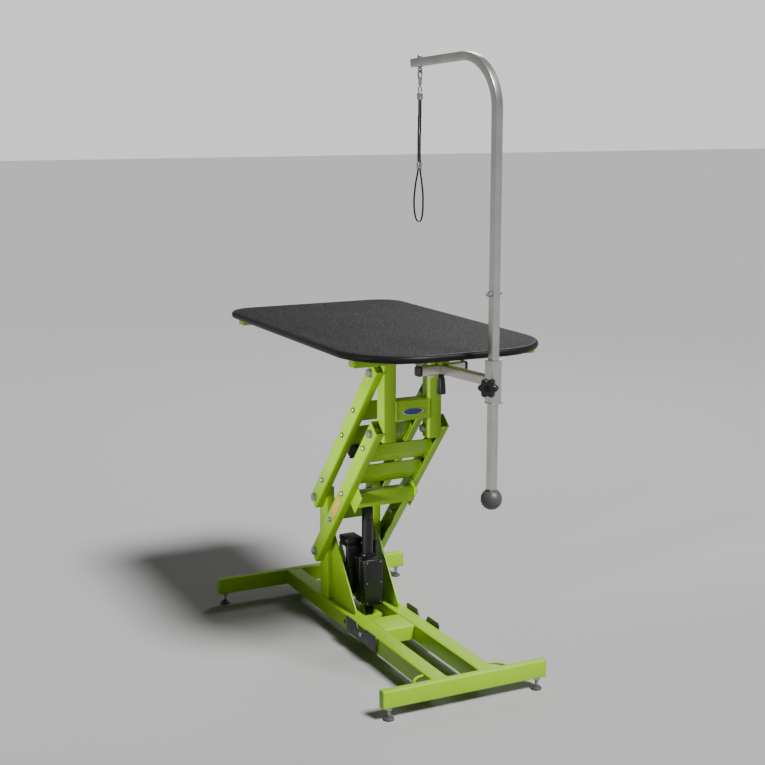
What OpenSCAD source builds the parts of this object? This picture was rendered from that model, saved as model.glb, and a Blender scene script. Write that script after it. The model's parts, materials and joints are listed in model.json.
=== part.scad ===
// Electric grooming table: an H-shaped base, a parallel-arm lift pushed by an
// actuator, a long rounded top, and a bent grooming arm on a swinging bracket.
// X runs along the cross bars, Y from the front to the rear, Z up from the floor.

/* [Base] */
// Length of the front cross bar
front_bar_len = 510; // [460:10:640]
// Length of the rear cross bar
rear_bar_len = 676; // [560:10:760]
// Depth of the base over both cross bars
base_len = 1073; // [980:1:1300]
// Height of the base tubes
bar_h = 50; // [44:1:60]
// Depth of the cross bars
bar_d = 25; // [20:1:35]
// Width of each rail
rail_w = 50; // [44:1:60]
// Gap between the two rails
rail_gap = 97; // [84:1:120]
// Wall of the steel tubes
tube_wall = 2; // [1.5:0.5:4]
// Height of the tubes above the floor
ground_gap = 36.5; // [34:0.5:60]
// Distance of each foot from the end of its bar
foot_inset = 23; // [18:1:60]

/* [Lift] */
// Length of the lift arms between their pivots
arm_len = 611; // [560:1:700]
// Angle of the lift arms above level
arm_angle = 49; // [40:1:54]
// Height between the upper and lower arm pivots
pivot_gap = 176; // [150:1:210]
// Distance of the base pivots behind the front of the base
pivot_y = 762; // [740:1:860]
// Height of the lower base pivots
pivot_z = 240; // [220:1:280]
// Width of the lift arms across their broad side
arm_w = 50; // [40:1:56]
// Thickness of the lift arms
arm_t = 25; // [20:1:32]
// Wall of the lift arms
arm_wall = 4; // [3:0.5:6]
// Length of the arms past their pivots
arm_end = 27; // [25:1:32]
// Radius of the pivot pins
pin_r = 8; // [6:0.5:10]
// Width over the outside of the posts
post_span = 185; // [160:1:200]

/* [Actuator] */
// Distance of the actuator behind the front of the base
act_y = 630; // [610:1:640]
// Height of the actuator's lower pin
act_low_z = 70; // [66:1:76]
// Length of the actuator between its pins
act_len = 360; // [350:1:372]
// Radius of the moving tube
ram_r = 17.5; // [14:0.5:20]
// Radius of the actuator's two pins
act_pin_r = 6; // [5:0.5:8]

/* [Top] */
// Width of the top
top_w = 600; // [500:10:700]
// Length of the top
top_len = 1050; // [870:10:1260]
// Thickness of the top
top_t = 20; // [18:1:30]
// Distance of the top's front edge behind the front of the base
top_y = 8; // [0:1:60]
// Radius of the top's front corners
front_r = 195; // [120:5:240]
// Radius of the top's rear corners
rear_r = 90; // [60:5:140]
// Height of the beams under the top
beam_h = 20; // [18:1:30]
// Length of the front and rear beams
beam_len = 550; // [440:2:550]

/* [Grooming arm] */
// Width of the square grooming post
post_w = 22; // [18:1:26]
// Height of the post's level part above the top
post_rise = 758; // [600:1:920]
// Reach of the post's level part
post_reach = 356; // [290:1:430]
// Centreline radius of the post's bend
bend_r = 135; // [100:5:165]
// Angle that the post's level part drops towards its end
droop = 3.5; // [0:0.5:8]
// Angle that the bracket is swung to
swing = 8.5; // [0:0.5:20]
// Distance from the bracket's clamp to the post
bracket_len = 222; // [200:1:300]
// Width of the bracket's square tubes
bracket_w = 25; // [20:1:30]
// Length of the bracket's cross tube
bracket_bar = 146; // [120:1:180]
// Height of the sleeve that holds the post
sleeve_h = 115; // [90:1:140]
// Diameter of the ball at the foot of the post
ball_d = 57; // [46:1:70]

/* [Hidden] */

$fn = 48;
green = [0.66, 0.78, 0.20];
zinc = [0.75, 0.75, 0.77];
steel = [0.72, 0.71, 0.68];
black = [0.07, 0.07, 0.08];
grey = [0.24, 0.24, 0.25];

eps = 1;
fit = 0.1;
side_gap = 0.5;
seat = 0.3;

// Base heights and depths
bar_top = ground_gap + bar_h;
rail_in = rail_gap / 2;
rail_out = rail_in + rail_w;
rear_y = base_len - bar_d;
foot_r = 15;
foot_pad_h = 9;
stud_r = 5;
nut_h = 8;
plate_t = 2;

// Cross pieces between the rails
tie_y = 407;
tie_len = 108;
pedal_y = tie_y + 50;
pedal_z = ground_gap + 29;
pedal_half = 106;
clevis_w = 40;
clevis_h = 20;

// Posts that carry the lift arms
post_out = post_span / 2;
post_t = 25;
post_len = 60;
post_y = pivot_y - 37;
upper_z = pivot_z + pivot_gap;
post_top = upper_z + 36;
gusset_t = 5;
gusset_foot = 168;
gusset_rise = 214;

// Lift arms: s runs from the base pivot to the top pivot, n towards the front
arm_turn = 180 - arm_angle;
arm_in = post_out + side_gap;
arm_out = arm_in + arm_t;
boss_r = 15;
end_y = pivot_y - arm_len * cos(arm_angle);
end_z = pivot_z + arm_len * sin(arm_angle);
lower_bolts = [176, 313, 542];
upper_bolts = [89, 320, 440];
panel_t = 3;
panel_low_s = 276;
panel_n = 6;
ridge = 9;

// Cross channel in front of the lower arms, with oversize holes for the actuator's head
channel_s = lower_bolts[1] + 22;
channel_y = pivot_y - channel_s * cos(arm_angle) - 38 * sin(arm_angle);
channel_z = pivot_z + channel_s * sin(arm_angle) - 38 * cos(arm_angle);
channel_d = 40;
channel_h = 45;
ram_z = act_low_z + act_len;
open_r = 12.5;

// Actuator, drawn from its lower pin
eye_w = 26;
ear_t = 6;
ear_gap = 1;
bore_gap = 0.5;
body_low = 28;
body_top = 177;
ram_low = 168;

// Frame under the top
frame_w = 40;
frame_d = 45;
frame_y = end_y - 34;
frame_low = end_z - 24;
rail_h = 20;
head_room = 84;
top_low = end_z + pivot_gap + head_room;
top_high = top_low + top_t;
plate_low = end_z + 36;
plate_high = end_z + 94;
beam_y = top_y + 117;
beam_d = 40;
rear_beam_y = top_y + top_len - 115;
board_t = 12;
board_inset = 10;

// Bracket, drawn from its clamp with the long tube towards the front
clamp = [-6, beam_y + 25];
spacer_h = 13;
tee_top = top_low - beam_h - spacer_h;
tee_mid = tee_top - bracket_w / 2;
sleeve_w = 32;
slide_gap = 0.3;
sleeve_low = tee_mid - sleeve_h / 2;
lip_w = 37;
lip_h = 3;
knob_r = 26;
knob_turn = 52;

// Grooming arm, in the bracket's own directions
arm_top = top_high + post_rise;
ball_z = sleeve_low - 257;
arm_low = ball_z + ball_d / 2 - 6;
reach_len = (post_reach - bend_r) / cos(droop) - bend_r * tan(droop);
eye_s = reach_len - 28;
stop_z = sleeve_low + sleeve_h + 170;
post_wall = 1.5;
hook_drop = post_w / 2 + 15;
hook_y = bend_r + eye_s * cos(droop) + (bend_r - hook_drop) * sin(droop);
hook_z = arm_top - bend_r - eye_s * sin(droop) + (bend_r - hook_drop) * cos(droop) + 4;

// Route of the lead: sideways and down from the eye, a doubled strap and a loop
lead_r = 2;
lead_sides = 8;
lead_route = [
  [-3, -76], [-3, -88], [-3, -100], [-3, -112], [-4, -124], [-4, -136], [-4, -148], [-5, -160],
  [-5, -172], [-5, -184], [-5, -196], [-5, -208], [-5, -220], [-5, -232], [-4, -242], [-4, -252],
  [-5, -262], [-7, -272], [-10, -284], [-13, -298], [-15, -312], [-17, -326], [-18, -340],
  [-18, -354], [-17, -368], [-15, -380], [-12, -390], [-8, -397], [-3, -401], [2, -400],
  [6, -396], [9, -388], [11, -376], [12, -362], [12, -348], [12, -334], [11, -320], [9, -306],
  [7, -292], [5, -280], [3, -270], [2, -260], [2, -250], [2, -240], [1, -230], [1, -220],
  [1, -208], [1, -196], [1, -184], [1, -172], [2, -160], [2, -148], [2, -136], [2, -124],
  [3, -112], [3, -100], [3, -88], [3, -76]
];

// The origin is the middle of the footprint, from the knob to the rear bar
knob_face = 66;
knob_reach = bracket_len * cos(swing) + knob_face * cos(knob_turn - swing)
  + knob_r * sin(knob_turn - swing);
mid_y = (base_len + clamp[1] - knob_reach) / 2;

module placed() {
  translate([0, -mid_y, 0]) children();
}

// One side of the table: -1 is the left, 1 is the right
module sided(side) {
  mirror([side < 0 ? 1 : 0, 0, 0]) children();
}

module both_sides() {
  for (side = [-1, 1]) sided(side) children();
}

// Directions of the lift arms, from a base pivot at height z
module on_arms(z) {
  translate([0, pivot_y, z]) rotate([arm_turn, 0, 0]) children();
}

// Directions of the bracket, from its clamp
module on_bracket() {
  translate([clamp[0], clamp[1], 0]) rotate([0, 0, swing]) children();
}

// Directions of the grooming post, with +Y along its level part
module on_post() {
  on_bracket() translate([0, -bracket_len, 0]) children();
}

// From the centre of the post's bend, turned with its sloping end
module on_reach() {
  on_post() translate([0, bend_r, arm_top - bend_r]) rotate([-droop, 0, 0]) children();
}

module rod_x(x0, x1, r) {
  translate([x0, 0, 0]) rotate([0, 90, 0]) cylinder(r = r, h = x1 - x0);
}

module hex_x(x0, x1, flats) {
  translate([x0, 0, 0]) rotate([0, 90, 0]) cylinder(d = flats / cos(30), h = x1 - x0, $fn = 6);
}

// A square or oblong tube along X, Y or Z with its low corner at the origin
module tube(size, axis, wall) {
  grow = [for (i = [0:2]) i == axis ? eps : -wall];
  difference() {
    cube(size);
    translate([for (g = grow) -g]) cube([for (i = [0:2]) size[i] + 2 * grow[i]]);
  }
}

// ---- base ----
module rail(side) {
  color(green) placed() sided(side) difference() {
    translate([rail_in, bar_d, ground_gap]) tube([rail_w, rear_y - bar_d, bar_h], 1, tube_wall);
    translate([0, pedal_y, pedal_z]) rod_x(rail_out - 6, rail_out + 1, stud_r + fit);
    translate([0, pedal_y + pedal_half + 22, pedal_z - 4]) rod_x(rail_out - 6, rail_out + 1, 5);
  }
}

module rail_left() rail(-1);
module rail_right() rail(1);

module foot_places(len, y) {
  for (x = [-1, 1]) translate([x * (len / 2 - foot_inset), y + bar_d / 2, 0]) children();
}

module cross_bar(len, y) {
  color(green) placed() difference() {
    translate([-len / 2 + plate_t, y, ground_gap]) tube([len - 2 * plate_t, bar_d, bar_h], 0, tube_wall);
    foot_places(len, y) cylinder(r = stud_r + fit, h = ground_gap + 3 * tube_wall);
  }
}

module front_bar() cross_bar(front_bar_len, 0);
module rear_bar() cross_bar(rear_bar_len, rear_y);

module bar_plates() {
  color(green) placed() both_sides() {
    translate([front_bar_len / 2 - plate_t, 0, ground_gap]) cube([plate_t, bar_d, bar_h]);
    translate([rear_bar_len / 2 - plate_t, rear_y, ground_gap]) cube([plate_t, bar_d, bar_h]);
  }
}

module mid_tie() {
  color(green) placed() translate([-rail_in, tie_y, ground_gap + 3])
    tube([rail_gap, tie_len, bar_h - 4], 0, 3);
}

// Cross tube with the two ears that hold the actuator's foot
module clevis_tie() {
  color(green) placed() {
    translate([-rail_in, act_y - clevis_w / 2, ground_gap]) tube([rail_gap, clevis_w, clevis_h], 0, 3);
    both_sides() difference() {
      translate([eye_w / 2 + ear_gap, act_y - 14, ground_gap + clevis_h])
        cube([ear_t, 28, act_low_z + 14 - ground_gap - clevis_h]);
      translate([0, act_y, act_low_z]) rod_x(eye_w / 2, eye_w, act_pin_r + fit);
    }
  }
}

module post(side) {
  color(green) placed() sided(side) difference() {
    translate([post_out - post_t, post_y, bar_top]) tube([post_t, post_len, post_top - bar_top], 2, 3);
    for (z = [pivot_z, upper_z])
      translate([0, pivot_y, z]) rod_x(post_out - post_t - 1, post_out + 1, pin_r + fit);
    translate([0, post_y + post_len, post_top]) rotate([45, 0, 0]) cube([2 * post_span, 24, 24], center = true);
  }
}

module post_left() post(-1);
module post_right() post(1);

module post_tie() {
  color(green) placed() translate([-post_out + post_t, post_y + post_len - 28, pivot_z + 92])
    tube([post_span - 2 * post_t, 28, 66], 0, 3);
}

module gussets() {
  color(green) placed() both_sides() translate([post_out - post_t + 3 + gusset_t, post_y, bar_top])
    rotate([0, -90, 0]) linear_extrude(gusset_t)
      polygon([[0, 0], [gusset_rise, 0], [gusset_rise, -12], [14, -gusset_foot], [0, -gusset_foot]]);
}

// Bent rods in the corners between the rails and the front bar
module corner_hoops() {
  color(green) placed() both_sides() translate([rail_out, bar_d, bar_top - 8])
    rotate_extrude(angle = 90) translate([46, 0]) circle(r = 4);
}

// Bolt with a washer and a hex head outside, seated off the arm's face
module pivot_bolt(inner) {
  rod_x(inner, arm_out + 4, pin_r);
  rod_x(arm_out + seat, arm_out + 3, 14);
  hex_x(arm_out + 3, arm_out + 11, 21);
}

module base_pins() {
  color(zinc) placed() {
    both_sides() for (z = [pivot_z, upper_z]) translate([0, pivot_y, z]) {
      pivot_bolt(post_out - post_t - 12);
      hex_x(post_out - post_t - 11, post_out - post_t, 24);
    }
    translate([0, act_y, act_low_z]) rod_x(-eye_w / 2 - ear_t - 6, eye_w / 2 + ear_t + 6, act_pin_r);
  }
}

module foot_nuts() {
  color(zinc) placed() for (bar = [[front_bar_len, 0], [rear_bar_len, rear_y]])
    foot_places(bar[0], bar[1]) translate([0, 0, ground_gap - nut_h]) difference() {
      cylinder(d = 17 / cos(30), h = nut_h, $fn = 6);
      translate([0, 0, -eps]) cylinder(r = stud_r + fit, h = nut_h + 2 * eps);
    }
}

module foot(x, y) {
  color(grey) placed() translate([x, y + bar_d / 2, 0]) {
    cylinder(r = foot_r, h = foot_pad_h - 3);
    translate([0, 0, foot_pad_h - 3]) cylinder(r1 = foot_r, r2 = 8, h = 3);
    translate([0, 0, foot_pad_h]) cylinder(r = stud_r, h = ground_gap + 16 - foot_pad_h);
  }
}

module foot_front_left() foot(-front_bar_len / 2 + foot_inset, 0);
module foot_front_right() foot(front_bar_len / 2 - foot_inset, 0);
module foot_rear_left() foot(-rear_bar_len / 2 + foot_inset, rear_y);
module foot_rear_right() foot(rear_bar_len / 2 - foot_inset, rear_y);

// Rocking foot switch on a rail: two lobes with a dip over the pivot
module pedal(side, rise) {
  color(grey) placed() sided(side)
    translate([rail_out + 3, pedal_y, pedal_z]) rotate([90, 0, 90])
      linear_extrude(4) difference() {
        polygon([[6 - pedal_half, -24], [pedal_half - 6, -24], [pedal_half, -4],
          [pedal_half, rise - 8], [pedal_half - 8, rise], [34, rise], [22, 12], [-22, 12],
          [-34, rise], [8 - pedal_half, rise], [-pedal_half, rise - 8], [-pedal_half, -4]]);
        circle(r = stud_r + fit);
        for (y = [-66, 66]) translate([y, rise - 14]) circle(r = 5);
      }
}

module pedal_left() pedal(-1, 26);
module pedal_right() pedal(1, 34);

module pedal_bolts() {
  color(zinc) placed() both_sides() translate([0, pedal_y, pedal_z]) {
    rod_x(rail_out - 5, rail_out + 12, stud_r);
    rod_x(rail_out, rail_out + 3 - seat, 9);
    rod_x(rail_out + 7 + seat, rail_out + 12, 8);
  }
}

// ---- lift arms ----
// A channel that is open towards the middle, with a boss at each pivot
module arm(side, z, bolts) {
  color(green) placed() sided(side) on_arms(z) {
    difference() {
      translate([arm_in, -arm_end, -arm_w / 2]) cube([arm_t, arm_len + 2 * arm_end, arm_w]);
      translate([arm_in - eps, -arm_end - eps, -arm_w / 2 + arm_wall])
        cube([arm_t - arm_wall + eps, arm_len + 2 * arm_end + 2 * eps, arm_w - 2 * arm_wall]);
      for (s = concat([0, arm_len], bolts)) translate([0, s, 0])
        rod_x(arm_out - arm_wall - eps, arm_out + eps, (s > 0 && s < arm_len ? 5 : pin_r) + fit);
    }
    for (s = [0, arm_len]) translate([0, s, 0]) difference() {
      rod_x(arm_in, arm_out - arm_wall + 0.5, boss_r);
      rod_x(arm_in - eps, arm_out + eps, pin_r + fit);
    }
  }
}

module lower_arm_left() arm(-1, pivot_z, lower_bolts);
module lower_arm_right() arm(1, pivot_z, lower_bolts);
module upper_arm_left() arm(-1, upper_z, upper_bolts);
module upper_arm_right() arm(1, upper_z, upper_bolts);

// Folded cross panel between a pair of arms, with a bolted tab at each end
module panel(z, s0, s1, bolt) {
  mid = (s0 + s1) / 2;
  color(green) placed() on_arms(z) {
    translate([-arm_in + panel_t, 0, 0]) rotate([90, 0, 90]) linear_extrude(2 * arm_in - 2 * panel_t)
      polygon([[s0, panel_n], [mid, panel_n + ridge], [s1, panel_n],
        [s1, panel_n + panel_t], [mid, panel_n + ridge + panel_t], [s0, panel_n + panel_t]]);
    both_sides() difference() {
      translate([arm_in - panel_t, s0 + 4, -18]) cube([panel_t, s1 - s0 - 8, 38]);
      translate([0, bolt, 0]) rod_x(arm_in - 2 * panel_t, arm_in + eps, 5 + fit);
    }
  }
}

module lower_panel_high() panel(pivot_z, 478, 564, lower_bolts[2]);
module lower_panel_low() panel(pivot_z, 370, 464, 417);
module upper_panel_high() panel(upper_z, 396, 488, upper_bolts[2]);
module upper_panel_low() panel(upper_z, panel_low_s, 368, upper_bolts[1]);

// Cross channel that the actuator lifts, with the ears that take its head
module lift_channel() {
  color(green) placed() {
    translate([-arm_in + panel_t, channel_y - 22, channel_z - 22])
      tube([2 * arm_in - 2 * panel_t, channel_d, channel_h], 0, 3);
    on_arms(pivot_z) both_sides() difference() {
      translate([arm_in - panel_t, channel_s - 42, -18]) cube([panel_t, 78, 80]);
      translate([0, lower_bolts[1], 0]) rod_x(arm_in - 2 * panel_t, arm_in + eps, 5 + fit);
    }
    both_sides() difference() {
      translate([eye_w / 2 + 3, 0, 0]) rotate([90, 0, 90]) linear_extrude(ear_t) union() {
        polygon([[act_y + 8, ram_z + 18], [act_y - 14, ram_z - 14],
          [channel_y - 23 + channel_d, channel_z - 18], [channel_y - 23 + channel_d, channel_z + 18]]);
        translate([act_y, ram_z]) circle(r = 20);
      }
      translate([0, act_y, ram_z]) rod_x(eye_w / 2, eye_w, open_r);
    }
  }
}

// Small bolts through an arm's outer wall and the tab inside it
module arm_bolts(z, bolts) {
  color(zinc) placed() on_arms(z) both_sides() for (s = bolts) translate([0, s, 0]) {
    rod_x(arm_in - panel_t - 9, arm_out + 1, 5);
    hex_x(arm_out, arm_out + 5, 14);
    hex_x(arm_in - panel_t - 8, arm_in - panel_t, 14);
  }
}

module lower_arm_bolts() arm_bolts(pivot_z, lower_bolts);
module upper_arm_bolts() arm_bolts(upper_z, upper_bolts);

module arm_label() {
  color([0.85, 0.72, 0.15]) placed() on_arms(pivot_z)
    translate([-arm_out - 0.6, lower_bolts[0] + 22, -17]) cube([0.6, 92, 34]);
}

module control_box() {
  color(black) placed() on_arms(upper_z)
    translate([-70, panel_low_s - 62, -22]) cube([140, 62, 40]);
}

// ---- actuator ----
module at_actuator() {
  placed() translate([0, act_y, act_low_z]) children();
}

// Gear housing with a bored column for the moving tube and an eye at its foot
module actuator_body() {
  color(black) at_actuator() difference() {
    union() {
      translate([-32, -50, body_low]) cube([62, 76, body_top - body_low]);
      translate([0, 0, body_top]) cylinder(r = ram_r + 5, h = 8);
      translate([30, -24, body_low]) cylinder(r = 14, h = 64);
      translate([32, 12, body_low + 70]) cylinder(r = 7.5, h = 120);
      rod_x(-eye_w / 2, eye_w / 2, 13);
      translate([-eye_w / 2, -10, 0]) cube([eye_w, 20, body_low + 1]);
    }
    translate([0, 0, body_low + 8]) cylinder(r = ram_r + bore_gap, h = body_top);
    rod_x(-eye_w, eye_w, act_pin_r + fit);
  }
}

module actuator_motor() {
  color(black) at_actuator() {
    translate([-56, 26, body_low + 104]) cube([54, 66, 96]);
    translate([-29, 60, body_low + 14]) cylinder(r = 24, h = 90);
  }
}

module actuator_ram() {
  color(black) at_actuator() {
    translate([0, 0, ram_low]) cylinder(r = ram_r, h = act_len - 26 - ram_low);
    translate([0, 0, act_len - 26]) cylinder(r = 12, h = 16);
    translate([0, 0, act_len]) rod_x(-eye_w / 2, eye_w / 2, 13);
    translate([0, 0, act_len]) rod_x(-eye_w / 2 - ear_t - 8, eye_w / 2 + ear_t + 8, act_pin_r);
  }
}

// ---- frame under the top ----
module frame_post(side) {
  color(green) placed() sided(side) difference() {
    translate([post_out - frame_w, frame_y, frame_low])
      tube([frame_w, frame_d, top_low - rail_h - frame_low], 2, 3);
    for (z = [end_z, end_z + pivot_gap])
      translate([0, end_y, z]) rod_x(post_out - frame_w - 1, post_out + 1, pin_r + fit);
  }
}

module frame_post_left() frame_post(-1);
module frame_post_right() frame_post(1);

module frame_plate() {
  color(green) placed() translate([-post_out + frame_w, frame_y, plate_low])
    tube([post_span - 2 * frame_w, 25, plate_high - plate_low], 0, 3);
}

module frame_badge() {
  color([0.16, 0.25, 0.42]) placed() translate([0, frame_y, (plate_low + plate_high) / 2 - 4])
    rotate([90, 0, 0]) linear_extrude(1.5) intersection() {
      translate([0, -53]) circle(r = 63, $fn = 120);
      translate([0, 53]) circle(r = 63, $fn = 120);
    }
}

module frame_gussets() {
  color(green) placed() both_sides() translate([post_out - frame_w + 12, frame_y + frame_d, top_low - rail_h])
    rotate([90, 0, 90]) linear_extrude(gusset_t)
      polygon([[0, 0], [86, 0], [82, -46], [58, -78], [0, -72]]);
}

module top_pins() {
  color(zinc) placed() both_sides() for (z = [end_z, end_z + pivot_gap]) translate([0, end_y, z]) {
    pivot_bolt(post_out - frame_w - 12);
    hex_x(post_out - frame_w - 11, post_out - frame_w, 24);
  }
}

module under_rails() {
  color(green) placed() both_sides()
    translate([post_out - frame_w, beam_y + beam_d, top_low - rail_h])
      tube([frame_w, rear_beam_y - beam_y - beam_d, rail_h], 1, tube_wall);
}

module under_beams() {
  color(green) placed() {
    for (y = [beam_y, rear_beam_y]) translate([-beam_len / 2, y, top_low - beam_h])
      tube([beam_len, beam_d, beam_h], 0, tube_wall);
    on_bracket() translate([-15, -beam_d / 2 + 2, tee_top]) difference() {
      cube([30, beam_d - 8, spacer_h]);
      translate([15, beam_d / 2 - 2, -eps]) cylinder(r = 5 + fit, h = spacer_h + 2 * eps);
    }
  }
}

// Outline of the top with two large front corners and two smaller rear ones
module outline(inset) {
  half = top_w / 2 - inset;
  fr = front_r - inset;
  rr = rear_r - inset;
  for (side = [-1, 1]) {
    translate([side * (half - fr), top_y + inset + fr]) circle(r = fr, $fn = 180);
    translate([side * (half - rr), top_y + top_len - inset - rr]) circle(r = rr, $fn = 120);
  }
  translate([-half, top_y + inset + fr]) square([2 * half, top_len - 2 * inset - fr - rr]);
  translate([-half + fr, top_y + inset]) square([2 * (half - fr), fr + eps]);
  translate([-half + rr, top_y + top_len - inset - rr - eps]) square([2 * (half - rr), rr + eps]);
}

module top_board() {
  color([0.55, 0.42, 0.28]) placed() translate([0, 0, top_low])
    linear_extrude(board_t) outline(board_inset);
}

module top_cover() {
  color(black) placed() translate([0, 0, top_low]) difference() {
    linear_extrude(top_t) outline(0);
    translate([0, 0, -eps]) linear_extrude(board_t + eps) outline(board_inset);
  }
}

// ---- bracket ----
module bracket_tee() {
  color(steel) placed() on_bracket() difference() {
    union() {
      translate([-bracket_bar / 2, -bracket_w / 2, tee_mid - bracket_w / 2])
        tube([bracket_bar, bracket_w, bracket_w], 0, 2);
      translate([-bracket_w / 2, -bracket_len + sleeve_w / 2, tee_mid - bracket_w / 2])
        tube([bracket_w, bracket_len - sleeve_w / 2 - bracket_w / 2, bracket_w], 1, 2);
      translate([-35, 0, tee_mid - bracket_w / 2 - 8]) cylinder(d = 15 / cos(30), h = 8, $fn = 6);
    }
    translate([0, 0, tee_mid - bracket_w]) cylinder(r = 5 + fit, h = 2 * bracket_w);
  }
}

module bracket_caps() {
  color(black) placed() on_bracket() both_sides()
    translate([bracket_bar / 2, 0, tee_mid]) rotate([90, 0, 90]) linear_extrude(9)
      intersection() {
        square(bracket_w + 3, center = true);
        circle(r = bracket_w * 0.66);
      }
}

// Square collar with a lip at each end and a boss for the knob's screw
module sleeve() {
  bore = post_w + 2 * slide_gap;
  color(steel) placed() on_post() difference() {
    union() {
      translate([-sleeve_w / 2, -sleeve_w / 2, sleeve_low]) cube([sleeve_w, sleeve_w, sleeve_h]);
      for (z = [sleeve_low, sleeve_low + sleeve_h - lip_h])
        translate([-lip_w / 2, -lip_w / 2, z]) cube([lip_w, lip_w - (lip_w - sleeve_w) / 2, lip_h]);
      translate([0, 0, tee_mid - 7]) rotate([0, 0, 270 - knob_turn]) rotate([0, 90, 0])
        cylinder(r = 10, h = 30);
    }
    translate([-bore / 2, -bore / 2, sleeve_low - eps]) cube([bore, bore, sleeve_h + 2 * eps]);
    translate([0, 0, tee_mid - 7]) rotate([0, 0, 270 - knob_turn]) rotate([0, 90, 0])
      cylinder(r = 5 + fit, h = 40);
  }
}

// Hand grip on the screw that clamps the bracket under the front beam
module clamp_grip() {
  color(black) placed() on_bracket() translate([0, 0, tee_mid - bracket_w / 2]) {
    translate([0, 0, -12]) cylinder(r = 8, h = 12 - seat);
    translate([0, 0, -58]) cylinder(r1 = 12.5, r2 = 9.5, h = 46);
    translate([0, 0, -12]) cylinder(r = 5, h = 12 + bracket_w + spacer_h - 1);
  }
}

module star_knob() {
  color(black) placed() on_post() translate([0, 0, tee_mid - 7])
    rotate([0, 0, 270 - knob_turn]) rotate([0, 90, 0]) {
      translate([0, 0, 16]) cylinder(r = 5, h = 16);
      translate([0, 0, 30 + seat]) cylinder(r = 11, h = 16);
      translate([0, 0, 46]) linear_extrude(knob_face - 46) union() {
        circle(r = knob_r - 8);
        for (k = [0:5]) rotate(60 * k) translate([knob_r - 7, 0]) circle(r = 7);
      }
    }
}

// ---- grooming arm ----
module square_ring() {
  difference() {
    square(post_w, center = true);
    square(post_w - 2 * post_wall, center = true);
  }
}

module arm_upright() {
  color(steel) placed() on_post() difference() {
    translate([-post_w / 2, -post_w / 2, arm_low])
      tube([post_w, post_w, arm_top - bend_r - arm_low], 2, post_wall);
    translate([0, 0, stop_z]) rod_x(-post_w, post_w, 4 + fit);
  }
}

module arm_bend() {
  color(steel) placed() on_reach() rotate([180, -90, 0])
    rotate_extrude(angle = 90 + droop) translate([bend_r, 0]) square_ring();
}

module arm_reach() {
  color(steel) placed() on_reach() difference() {
    translate([-post_w / 2, 0, bend_r - post_w / 2]) tube([post_w, reach_len, post_w], 1, post_wall);
    translate([0, eye_s, bend_r - post_w]) cylinder(r = 4 + fit, h = 2 * post_w);
  }
}

module arm_stop() {
  color(zinc) placed() on_post() translate([0, 0, stop_z]) {
    rod_x(-post_w / 2 - 16, post_w / 2 + 12, 4);
    rod_x(-post_w / 2 - 9, -post_w / 2 - 0.2, 7);
    rod_x(post_w / 2 + 0.2, post_w / 2 + 4, 6);
  }
}

module ball_foot() {
  color(grey) placed() on_post() difference() {
    translate([0, 0, ball_z]) sphere(d = ball_d, $fn = 64);
    translate([-post_w / 2, -post_w / 2, arm_low]) cube([post_w, post_w, ball_d]);
  }
}

module at_hook() {
  on_post() translate([0, hook_y, hook_z]) children();
}

module eye_bolt() {
  color(zinc) placed() on_reach() translate([0, eye_s, bend_r]) {
    translate([0, 0, -post_w / 2 - 7]) cylinder(r = 4, h = post_w + 9);
    translate([0, 0, post_w / 2 + seat]) cylinder(r = 6.5, h = 8);
    translate([0, 0, 6 - hook_drop]) rotate([90, 0, 0]) rotate_extrude() translate([6, 0]) circle(r = 2, $fn = 24);
  }
}

// Snap hook: an open loop through the eye, a swivel barrel, a link and a crimp
module snap_hook() {
  color(zinc) placed() at_hook() {
    translate([0, 0, -6.7]) rotate([90, 0, 90]) rotate_extrude() translate([7, 0]) circle(r = 2, $fn = 24);
    translate([0, 0, -34]) cylinder(r = 5, h = 20);
    translate([0, 0, -38]) cylinder(r = 3, h = 5);
    translate([0, 0, -58]) cylinder(r = 2.5, h = 20.5);
    translate([-8, -4, -76]) cube([16, 8, 18]);
    translate([-8.5, -4, -258]) cube([14, 8, 16]);
  }
}

// Lead: a doubled strap that opens into a loop below the slider
module lead() {
  n = len(lead_route);
  dirs = [for (i = [0:n - 1]) lead_route[min(i + 1, n - 1)] - lead_route[max(i - 1, 0)]];
  points = [for (i = [0:n - 1], k = [0:lead_sides - 1])
    let (d = dirs[i] / norm(dirs[i]), a = 360 * k / lead_sides)
      [lead_route[i][0] - d[1] * lead_r * cos(a), lead_r * sin(a),
        lead_route[i][1] + d[0] * lead_r * cos(a)]];
  walls = [for (i = [0:n - 2], k = [0:lead_sides - 1])
    let (j = (k + 1) % lead_sides, a = i * lead_sides)
      [a + k, a + j, a + lead_sides + j, a + lead_sides + k]];
  first = [for (k = [lead_sides - 1:-1:0]) k];
  last = [for (k = [0:lead_sides - 1]) (n - 1) * lead_sides + k];
  color(black) placed() at_hook()
    polyhedron(points, concat([first], walls, [last]));
}

rail_left();
rail_right();
front_bar();
rear_bar();
bar_plates();
mid_tie();
clevis_tie();
post_left();
post_right();
post_tie();
gussets();
corner_hoops();
base_pins();
foot_nuts();
foot_front_left();
foot_front_right();
foot_rear_left();
foot_rear_right();
pedal_left();
pedal_right();
pedal_bolts();
lower_arm_left();
lower_arm_right();
lower_panel_high();
lower_panel_low();
lift_channel();
lower_arm_bolts();
arm_label();
upper_arm_left();
upper_arm_right();
upper_panel_high();
upper_panel_low();
control_box();
upper_arm_bolts();
actuator_body();
actuator_motor();
actuator_ram();
frame_post_left();
frame_post_right();
frame_plate();
frame_badge();
frame_gussets();
top_pins();
under_rails();
under_beams();
top_board();
top_cover();
bracket_tee();
bracket_caps();
sleeve();
clamp_grip();
star_knob();
arm_upright();
arm_bend();
arm_reach();
arm_stop();
ball_foot();
eye_bolt();
snap_hook();
lead();
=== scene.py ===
import json
import math

import bmesh
import bpy
from mathutils import Matrix, Vector


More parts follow.
